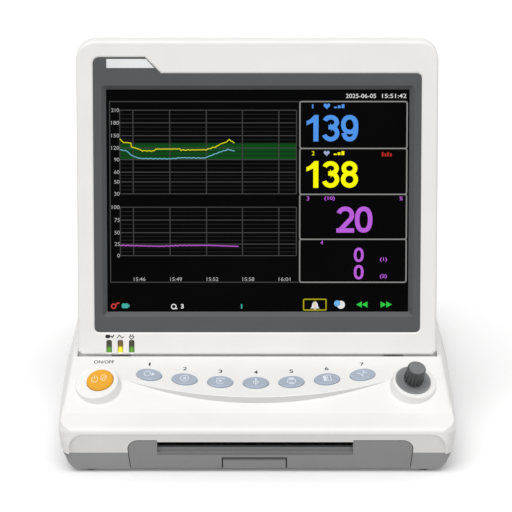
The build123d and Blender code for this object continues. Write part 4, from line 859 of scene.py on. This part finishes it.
def housing_print():
    """ON/OFF beside the power button, a number behind each key, and the signs over the indicators."""
    black = ink("print_black", INK_BLACK)
    label = Drawing(INK_LIFT)
    label.text("ON/OFF", -ON_OFF_HALF, ON_OFF_HALF, 0, LABEL_HEIGHT, LABEL_WEIGHT)
    label.finish("print_on_off", strip_face(*ON_OFF_PLACE), black, "base", "white_housing")
    for number, (x, y, angle) in enumerate(key_places(), start=1):
        mark = Drawing(INK_LIFT)
        half = ONE_HALF if number == 1 else NUMBER_HALF
        mark.text(str(number), -half, half, 0, LABEL_HEIGHT, LABEL_WEIGHT)
        spot = strip_face(x, y + KEY_NUMBER_GAP, angle / 2)
        mark.finish(f"print_number_{number}", spot, black, "base", "white_housing")
    place = display_face(0)
    marked("print_indicator_signs", INK_LIFT, INDICATOR_SIGNS, place, black, "display", "white_housing")


def key_signs():
    pale = ink("sign_pale_blue", KEY_PALE)
    larger = Matrix.Diagonal(KEY_STRETCH)
    for number, (marks, spot) in enumerate(zip(KEY_SIGNS, key_places()), start=1):
        place = strip_face(*spot) @ larger
        marked(f"sign_key_{number}", KEY_TOP + INK_LIFT, marks, place, pale, f"key_{number}", "key_cap")


def power_signs():
    pale = ink("sign_pale_orange", BUTTON_PALE)
    place = boss_face(-1) @ Matrix.Diagonal(POWER_STRETCH)
    marked("sign_power", POWER_TOP + INK_LIFT, POWER_SIGNS, place, pale, "power_button", "button_cap")


# Pieces that replace or complete a solid

INDICATOR_X = -121.4
INDICATOR_PITCH = 9.25
INDICATOR_HALF = 2.15
INDICATOR_LOW = 1.1
INDICATOR_HIGH = 12.7
LENS_CORNER = 1.3
LENS_GAP = 0.12
# Inset and height of the rings that make a lens's crown
LENS_CROWN = ((0.0, -5.0), (0.0, -0.9), (0.15, -0.6), (0.5, -0.4), (1.1, -0.3))

PANEL_HALF = 146.7
PANEL_HEIGHT = 260.0
PANEL_CORNER = 15.5
PANEL_CHAMFER = 3.0
FRAME_DEPTH = 10.0
FRAME_EDGE = 2.4
FRAME_SKIN = 2.6
RIM_WIDTH = 1.3
RIM_DEPTH = 0.7
BEZEL_HALF = 133.2
BEZEL_LOW = 19.1
BEZEL_HIGH = 233.5
NOTCH_TOP = 246.7
NOTCH_RIGHT = -91.0
NOTCH_END = -77.9
BEZEL_CORNER = 4.0
NOTCH_CORNER = 5.2
OPENING = (-122.7, 123.5, 35.6, 219.7)
BEVEL = 3.8
BEZEL_BACK = 6.0
BEVEL_CORNER = 2.0
SCREEN_CORNER = 0.6
CORNER_STEPS = 3
SEAT_GAP = 0.1
EDGE_ANGLES = (22.5, 45, 67.5, 90)


def panel_outline(inset):
    """Outline of the display: round above, with small chamfers at its foot."""
    half = PANEL_HALF - inset
    top = PANEL_HEIGHT - inset
    radius = PANEL_CORNER - inset
    cut = PANEL_CHAMFER - 0.4 * inset
    points = arc_points((half - radius, top - radius), radius, 0, 90, 8)
    points += arc_points((radius - half, top - radius), radius, 90, 180, 8)
    return points + [(-half, inset + cut), (cut - half, inset), (half - cut, inset), (half, inset + cut)]


def bezel_outline(grow):
    """Outline of the bezel with its notch at the upper left, grown outwards."""
    half = BEZEL_HALF + grow
    low = BEZEL_LOW - grow
    high = BEZEL_HIGH + grow
    top = NOTCH_TOP + grow
    radius = BEZEL_CORNER + grow
    notch = NOTCH_CORNER + grow
    points = arc_points((half - radius, high - radius), radius, 0, 90, 5)
    points += [(NOTCH_END + 0.45 * grow, high), (NOTCH_RIGHT + 0.45 * grow, top)]
    points += arc_points((notch - half, top - notch), notch, 90, 180, 6)
    points += arc_points((radius - half, low + radius), radius, 180, 270, 5)
    return points + arc_points((half - radius, low + radius), radius, 270, 360, 5)


def lens_outline(index, grow):
    x = INDICATOR_X + INDICATOR_PITCH * index
    half = INDICATOR_HALF + grow
    return rounded(x - half, x + half, INDICATOR_LOW - grow, INDICATOR_HIGH + grow, LENS_CORNER + grow)


def display_piece(name, shell, material, slot):
    return make_piece(name, shell.vertices, shell.faces, display_face(0), material, "display", slot)


def display_frame(white):
    """The display's front frame: rounded edge, chamfered rim round the bezel, three lens windows."""
    shell = Shell()
    outline = panel_outline(FRAME_EDGE)
    front = shell.loop(outline, 0)
    edge = front
    for angle in EDGE_ANGLES:
        inset = FRAME_EDGE * (1 - math.sin(math.radians(angle)))
        drop = FRAME_EDGE * (1 - math.cos(math.radians(angle)))
        following = shell.loop(panel_outline(inset), -drop)
        shell.join(following, edge)
        edge = following
    rear = shell.loop(panel_outline(0), -FRAME_DEPTH)
    shell.join(rear, edge)
    inner, inner_rear = shell.wall(panel_outline(FRAME_EDGE), -FRAME_SKIN, -FRAME_DEPTH)
    shell.join(inner_rear, rear)
    rim = shell.loop(bezel_outline(RIM_WIDTH), 0)
    seat, seat_rear = shell.wall(bezel_outline(SEAT_GAP), -RIM_DEPTH, -FRAME_SKIN)
    shell.join(rim, seat)
    windows = [shell.wall(lens_outline(index, LENS_GAP), 0, -FRAME_SKIN) for index in range(3)]
    shell.fill(front, [rim] + [near for near, far in windows])
    shell.fill(inner, [seat_rear] + [far for near, far in windows], reverse=True)
    piece = display_piece("front_frame", shell, white, "white_housing")
    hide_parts("display_front_frame")


def display_bezel(grey):
    """The dark bezel with a bevel down to the screen."""
    x_low, x_high, y_low, y_high = OPENING
    shell = Shell()
    outer_rear, outer = shell.wall(bezel_outline(0), -BEZEL_BACK, -RIM_DEPTH)
    spread = (x_low - BEVEL, x_high + BEVEL, y_low - BEVEL, y_high + BEVEL)
    inner = shell.loop(rounded(*spread, BEVEL_CORNER, CORNER_STEPS), -RIM_DEPTH)
    opening = rounded(*OPENING, SCREEN_CORNER, CORNER_STEPS)
    screen_edge, screen_rear = shell.wall(opening, -SCREEN_DEPTH, -BEZEL_BACK)
    shell.join(inner, screen_edge)
    shell.fill(outer, [inner])
    shell.fill(outer_rear, [screen_rear], reverse=True)
    piece = display_piece("bezel", shell, grey, "dark_bezel")
    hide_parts("screen_bezel")


def indicator_lenses():
    """Crowned lenses of the three indicators: green, yellow and green."""
    green = indicator("lens_green", (0.10, 0.33, 0.015), (0.040, 0.045, 0.022), 0.9)
    yellow = indicator("lens_yellow", (1.0, 0.86, 0.02), (0.16, 0.085, 0.022), 1.0)
    for index, look in enumerate((green, yellow, green)):
        x = INDICATOR_X + INDICATOR_PITCH * index
        outlines = []
        for inset, height in LENS_CROWN:
            half = INDICATOR_HALF - inset
            sides = (x - half, x + half, INDICATOR_LOW + inset, INDICATOR_HIGH - inset)
            outlines.append((rounded(*sides, LENS_CORNER - inset / 1.2), height))
        name = f"indicator_lens_{index + 1}"
        skin = stacked_rings(outlines)
        lens = make_piece(name, *skin, display_face(0), look, "display", "indicator_lens", smooth=True)
        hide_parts("indicator_lenses")


FRONT_Y = -174.6
FRONT_HEIGHT = 36.8
FRONT_LEAN = 15
SLOT_LEFT = -81.0
SLOT_RIGHT = 77.4
# Gap and section of the black sheet in the paper slot, which is painted shadow
SLOT_SHADOW_GAP = 0.2
SLOT_SHADOW_PROFILE = [(-168.20, 23.3), (-168.50, 24.8), (-161.5, 24.8), (-160.2, 28.6), (-160.0, 28.5),
                 (-161.3, 24.62), (-168.35, 24.62), (-168.05, 23.3)]
# Painted shadow at the latch: a black line along its gap and a grey band under its top edge
LATCH_GAP_SHADOW = [(-28.3, -34.0), (-28.3, -23.9), (23.5, -23.9), (23.5, -34.0)]
LATCH_LINE = 1.2
LATCH_SHADE = (-27.7, 22.9, -26.3, -24.5)
# The tear strip and the lip under it are drawn in darker grey as painted shade
TEAR_SET_BACK = 3.0
TEAR_TOP = -12.8
TEAR_EDGE = -18.2
TEAR_FOOT = -20.7
TRIM_LIFT = 0.05
SHADE_LIFT = 0.04


def chassis_shade(factor):
    return scaled(CHASSIS_GREY, factor)


def front_face(set_back):
    """The leaning front face of the base: X to the right, Y up the face, Z out to the front."""
    return shift(0, FRONT_Y + set_back, FRONT_HEIGHT) @ turn(FRONT_LEAN, "X") @ turn(90, "X")


def paper_guide(black):
    """A black sheet that lines the paper slot: painted shadow, where the slot lies in shade under the brim.
    """
    outlines = [(SLOT_SHADOW_PROFILE, SLOT_RIGHT - SLOT_SHADOW_GAP), (SLOT_SHADOW_PROFILE, SLOT_LEFT + SLOT_SHADOW_GAP)]
    make_piece("paper_guide", *stacked_rings(outlines), section_face(), black, "drawer", "black_part")


def drawer_trim():
    """Painted shade on the drawer's front: a black line in the latch's gap and a grey band under its top edge
    as the latch's painted shadow, and darker grey on the set-back tear strip below the paper slot and on the
    lip under it as painted shade.
    """
    strip = (SLOT_LEFT + SLOT_SHADOW_GAP, SLOT_RIGHT - SLOT_SHADOW_GAP, TEAR_EDGE, TEAR_TOP)
    pieces = (
        ("latch_gap_shadow_line", TRIM_LIFT, (Drawing.ribbon, LATCH_GAP_SHADOW, LATCH_LINE), 0, ink("latch_gap_shadow_black", INK_BLACK)),
        ("latch_shade", SHADE_LIFT, (Drawing.box, *LATCH_SHADE), 0, ink("latch_shadow_grey", chassis_shade(0.5))),
        ("tear_strip_painted_shade", TRIM_LIFT, (Drawing.box, *strip), TEAR_SET_BACK,
         plastic("tear_strip_painted_shade", chassis_shade(0.76), 0.5)),
        ("tear_lip_painted_shade", TRIM_LIFT, (Drawing.box, SLOT_LEFT, SLOT_RIGHT, TEAR_FOOT, TEAR_EDGE), 0,
         plastic("tear_lip_painted_shade", chassis_shade(0.58), 0.5)),
    )
    for name, lift, mark, set_back, look in pieces:
        marked(name, lift, [mark], front_face(set_back), look, "drawer", "black_part")


TONGUE_HALF = 106.0
TONGUE_BACK = -127.9
TONGUE_FRONT = -146.8
LIP_HALF = 104.5
LIP_STEPS = 72
LIP_REACH = 0.2
WALL_DRAFT = 0.0465
WALL_TOP = 75.6
WALL_GAP = 0.03
LIP_EDGE = 0.35
LIP_LIFT = 0.02
LIP_ROOT = 0.3
LIP_FOOT_GAP = 0.06
APRON_FOOT = (-156.5, 48.0)
APRON_SLOPE = 31.3


def wall_y(arc_y, height):
    """Y of the key strip's front wall, which spreads towards its foot."""
    return arc_y - WALL_DRAFT * (WALL_TOP - height)


def apron_height(y):
    return APRON_FOOT[1] + math.tan(math.radians(APRON_SLOPE)) * (y - APRON_FOOT[0])


def tongue_lip(white):
    """The overhanging front edge of the key strip, which draws back towards its foot, and a darker copy of
    its front face as painted shade on the strip's front wall.
    """
    sag = TONGUE_BACK - TONGUE_FRONT
    radius = (TONGUE_HALF ** 2 + sag ** 2) / (2 * sag)
    outlines = []
    for index in range(LIP_STEPS + 1):
        x = LIP_HALF * (2 * index / LIP_STEPS - 1)
        arc_y = TONGUE_FRONT + radius - math.sqrt(radius ** 2 - x ** 2)
        top_y = wall_y(arc_y, strip_height(arc_y))
        rise = max(strip_height(top_y) - apron_height(top_y), 0.0)
        lip_y = top_y - LIP_REACH * rise
        edge = LIP_EDGE * min(rise / 2, 1.0)
        foot_y = wall_y(arc_y, apron_height(top_y)) - LIP_FOOT_GAP
        rear_y = top_y + LIP_ROOT
        outlines.append(([
            (rear_y, strip_height(rear_y) + LIP_LIFT),
            (lip_y + edge, strip_height(lip_y + edge) + LIP_LIFT),
            (lip_y, strip_height(lip_y) - edge),
            (foot_y, apron_height(foot_y)),
            (rear_y, apron_height(rear_y)),
        ], x))
    make_piece("tongue_lip", *stacked_rings(outlines), section_face(), white, "base", "white_housing")
    # Painted shade: the lip's front face again, in white darkened to 0.8, just in front of the key strip's
    # front wall
    front = [(*point, x) for points, x in outlines for point in points[2:4]]
    faces = [(2 * i, 2 * i + 1, 2 * i + 3, 2 * i + 2) for i in range(LIP_STEPS)]
    shade = plastic("tongue_wall_painted_shade", scaled(WHITE, 0.80), 0.5)
    place = shift(0, -WALL_GAP, 0) @ section_face()
    make_piece("tongue_wall_painted_shade", front, faces, place, shade, "base", "white_housing")


SCREW_RADIUS = 2.8
SCREW_PROFILE = ((SCREW_RADIUS, -0.2), (SCREW_RADIUS, 0.06), (0.92 * SCREW_RADIUS, 0.12))
RECESS_LIFT = 0.14
SCREW_PLACES = ((-128.0, 34.0), (128.0, 34.0), (-128.0, 226.0), (128.0, 226.0))


def screw(name, place, steel):
    """A countersunk screw on the display's back, with a cross recess drawn as a flat black shape: painted
    shade.
    """
    make_piece(name, *turned(SCREW_PROFILE, 24), place, steel, "display", "steel")
    # Painted shade: a flat black cross stands in for the shade inside the cross recess
    cross = Drawing(RECESS_LIFT)
    arm = 0.5 * SCREW_RADIUS
    slit = 0.13 * SCREW_RADIUS
    cross.shape([(-arm, -slit), (-slit, -slit), (-slit, -arm), (slit, -arm), (slit, -slit), (arm, -slit),
                 (arm, slit), (slit, slit), (slit, arm), (-slit, arm), (-slit, slit), (-arm, slit)])
    cross.finish(name + "_recess", place, ink(name + "_recess_painted_shade", INK_BLACK), "display", "steel")


def rear_screws(steel):
    """Countersunk screws, flush in the display's rear cover."""
    for number, (x, y) in enumerate(SCREW_PLACES, start=1):
        screw(f"rear_screw_{number}", display_back(PANEL_DEPTH) @ shift(x, y, 0), steel)


SOCKET_YS = (15.0, 41.0, 67.0, 93.0)
SOCKET_Z = 40.0
SOCKET_FLOOR_X = -138.7
CARRIER_PROFILE = ((6.3, 0), (6.3, 2.2), (5.9, 2.6), (1.0, 2.6))
PIN_COUNT = 6
PIN_CIRCLE = 3.6
PIN_START = 30
PIN_RUN = 2.4
PIN_RADIUS = 0.55
PIN_LENGTH = 6.0
PIN_PROFILE = (
    (PIN_RADIUS, 0),
    (PIN_RADIUS, PIN_LENGTH - PIN_RADIUS),
    (PIN_RADIUS * 0.8, PIN_LENGTH - PIN_RADIUS * 0.4),
    (PIN_RADIUS * 0.3, PIN_LENGTH),
)


def socket_contacts():
    """Contact pins and a dark insert at the bottom of each transducer socket."""
    gold = metal("contact_gold", (0.80, 0.56, 0.22), 0.25)
    black = plastic("contact_carrier", PLASTIC_BLACK, 0.5)
    facing = turn(-90, "Y")
    carrier = turned(CARRIER_PROFILE)
    contact = turned(PIN_PROFILE, 12)
    for number, y in enumerate(SOCKET_YS, start=1):
        place = shift(SOCKET_FLOOR_X, y, SOCKET_Z) @ facing
        make_piece(f"socket_carrier_{number}", *carrier, place, black, "base", "black_part", True)
        circle = arc_points((y, SOCKET_Z), PIN_CIRCLE, PIN_START, PIN_START + 360, PIN_COUNT)[:-1]
        for index, (pin_y, pin_z) in enumerate(circle, start=1):
            place = shift(SOCKET_FLOOR_X - PIN_RUN, pin_y, pin_z) @ facing
            make_piece(f"socket_pin_{number}_{index}", *contact, place, gold, "base", "brass", True)


# Assignment of looks to the carried solids

def numbered(name, count):
    return [f"{name}_{number}" for number in range(1, count + 1)]


def dress_nodes():
    """A node material on every solid that stays in view."""
    white = plastic("white_housing", WHITE, 0.42, 0.5, 0.12)
    grey = plastic("grey_chassis", CHASSIS_GREY, 0.5, 0.6, 0.25, 0.03)
    drawer = plastic("grey_drawer", chassis_shade(0.88), 0.5, 0.6, 0.25, 0.03)
    bezel = plastic("dark_bezel", BEZEL_GREY, 0.42, 0.5, 0.15, 0.02)
    black = plastic("black_part", PLASTIC_BLACK, 0.45)
    boss = METRES * boss_face(1).to_translation()
    tilt = boss_face(1).to_euler()
    knob = turned_plastic("knob", KNOB_GREY, boss, tilt, 4.0, KNOB_TOP, KNOB_TOP_PAINTED_LIGHT)
    dish = turned_plastic("dish", DISH_GREY, boss, tilt, 6.0, DISH_TOP, DISH_TOP_PAINTED_LIGHT)
    steel = metal("steel", (0.60, 0.61, 0.62))
    dressed = [
        (white, "base_upper_cover display_front_frame display_rear_cover"),
        (grey, "base_lower_chassis battery_door paper_tray socket_plate"),
        (drawer, "drawer_front drawer_latch"),
        (bezel, "screen_bezel"),
        (black, "power_switch encoder_rotor drawer_runners stepper_motor speaker mains_inlet"),
        (steel, "hinge_posts hinge_pins hinge_brackets encoder_shaft platen_shaft motor_shaft printer_frame"),
        (metal("panel_module", (0.62, 0.63, 0.64), 0.4), "lcd_module encoder_body print_head data_socket"),
        (metal("brass", (0.80, 0.62, 0.30), 0.25), "motor_pinion earth_stud"),
        (plastic("key_cap", KEY_BLUE, 0.38, 0.4, 0.08, 0.02), " ".join(numbered("key", KEY_COUNT))),
        (plastic("button_cap", BUTTON_ORANGE, 0.35, 0.4, 0.06, 0.02, 0.5), "power_button"),
        (plastic("lamp_lens", (0.80, 0.81, 0.815), 0.3, 0.8, 0.05, 0.03, 0.5), "alarm_lamp"),
        (plastic("battery_case", (0.03, 0.035, 0.05)), "battery_pack"),
        (plastic("gear", GEAR_IVORY), "platen_gear"),
        (plastic("idler", GEAR_IVORY), "idler_gear"),
        (knob, "control_knob"),
        (dish, "encoder_dish"),
        (glass("screen_glass"), "screen_window"),
        (rubber("rubber"), "rubber_feet"),
        (rubber("roller_rubber", (0.03, 0.03, 0.03)), "platen_roller"),
        (board("circuit_board"), "display_board"),
        (board("key_circuit_board"), "key_board"),
        (board("main_circuit_board"), "main_board"),
        (board("supply_circuit_board"), "power_supply"),
    ]
    for number, name in enumerate(numbered("transducer_socket", len(SOCKET_YS)), start=1):
        dressed.append((plastic(f"socket_shell_{number}", (0.46, 0.48, 0.50), 0.4), name))
    for material, names in dressed:
        for name in names.split():
            solid = nodes[name]
            solid.data.materials.clear()
            solid.data.materials.append(material)
    return white, bezel, black, steel


# Floor, light and camera

FLOOR_HALF = 12.0
FLOOR_SEEN = 0.90
FLOOR_LIT = 0.50
FLOOR_GLOW = 0.12
WORLD_LEVEL = 0.62
LAMP_STRENGTH = 1.72
LAMP_RISE = 55.0
LAMP_SWING = -12.0
LAMP_SPREAD = 50.0


def seen_directly(tree):
    """1 for rays from the camera, from gloss and through glass, and 0 for the rest."""
    path = add_node(tree, "LightPath")
    seen = path.outputs["Is Camera Ray"]
    for kind in ("Is Glossy Ray", "Is Transmission Ray"):
        larger = add_node(tree, "Math", links={0: seen, 1: path.outputs[kind]})
        larger.operation = "MAXIMUM"
        seen = larger.outputs[0]
    return seen


def make_floor():
    """A pale floor that reads as white and keeps the object's shadow."""
    mesh = bpy.data.meshes.new("floor")
    near, far = -FLOOR_HALF, FLOOR_HALF
    corners = [(near, near, 0), (far, near, 0), (far, far, 0), (near, far, 0)]
    mesh.from_pydata(corners, [], [(0, 1, 2, 3)])
    floor = new_object("floor", mesh)
    material = bpy.data.materials.new("floor")
    material.use_nodes = True
    tree = material.node_tree
    tree.nodes.clear()
    dull = add_node(tree, "BsdfDiffuse", {"Color": (FLOOR_LIT, FLOOR_LIT, FLOOR_LIT, 1)})
    bright = add_node(tree, "BsdfDiffuse", {"Color": (FLOOR_SEEN, FLOOR_SEEN, FLOOR_SEEN, 1)})
    glow = add_node(tree, "Emission", {"Strength": FLOOR_GLOW})
    both = add_node(tree, "AddShader", links={0: bright.outputs[0], 1: glow.outputs[0]})
    shares = {"Fac": seen_directly(tree), 1: dull.outputs[0], 2: both.outputs[0]}
    mix = add_node(tree, "MixShader", links=shares)
    add_node(tree, "OutputMaterial", links={"Surface": mix.outputs[0]})
    mesh.materials.append(material)


def make_world():
    world = bpy.data.worlds.new("studio")
    bpy.context.scene.world = world
    world.use_nodes = True
    tree = world.node_tree
    background = tree.nodes["Background"]
    set_values(background, {"Color": (1.0, 1.0, 1.0, 1.0)})
    shares = {"To Min": WORLD_LEVEL, "To Max": 1.0}
    level = add_node(tree, "MapRange", shares, {"Value": seen_directly(tree)})
    tree.links.new(level.outputs["Result"], background.inputs["Strength"])


def make_lamp():
    """One wide soft lamp, high in front and a little to the left."""
    light = bpy.data.lights.new("key_light", "SUN")
    light.energy = LAMP_STRENGTH
    light.angle = math.radians(LAMP_SPREAD)
    lamp = new_object("key_light", light)
    lamp.rotation_euler = (math.radians(90 - LAMP_RISE), 0, math.radians(LAMP_SWING))


def make_camera():
    data = bpy.data.cameras.new("camera")
    data.sensor_width = SENSOR
    data.lens = FOCAL_PIXELS * SENSOR / IMAGE_SIZE
    camera = new_object("camera", data)
    rise = math.radians(CAMERA_RISE)
    camera.location = TARGET + CAMERA_DISTANCE * Vector((0, -math.cos(rise), math.sin(rise)))
    camera.rotation_euler = (math.radians(90 - CAMERA_RISE), 0, 0)
    data.clip_end = 100
    bpy.context.scene.camera = camera


def main():
    bpy.context.scene.view_settings.view_transform = "Standard"
    white, grey, black, steel = dress_nodes()
    display_frame(white)
    display_bezel(grey)
    paper_guide(black)
    drawer_trim()
    tongue_lip(white)
    rear_screws(steel)
    indicator_lenses()
    screen_grids()
    screen_scales()
    screen_traces()
    screen_boxes()
    screen_marks()
    housing_print()
    key_signs()
    power_signs()
    socket_contacts()
    make_floor()
    make_world()
    make_lamp()
    make_camera()


main()
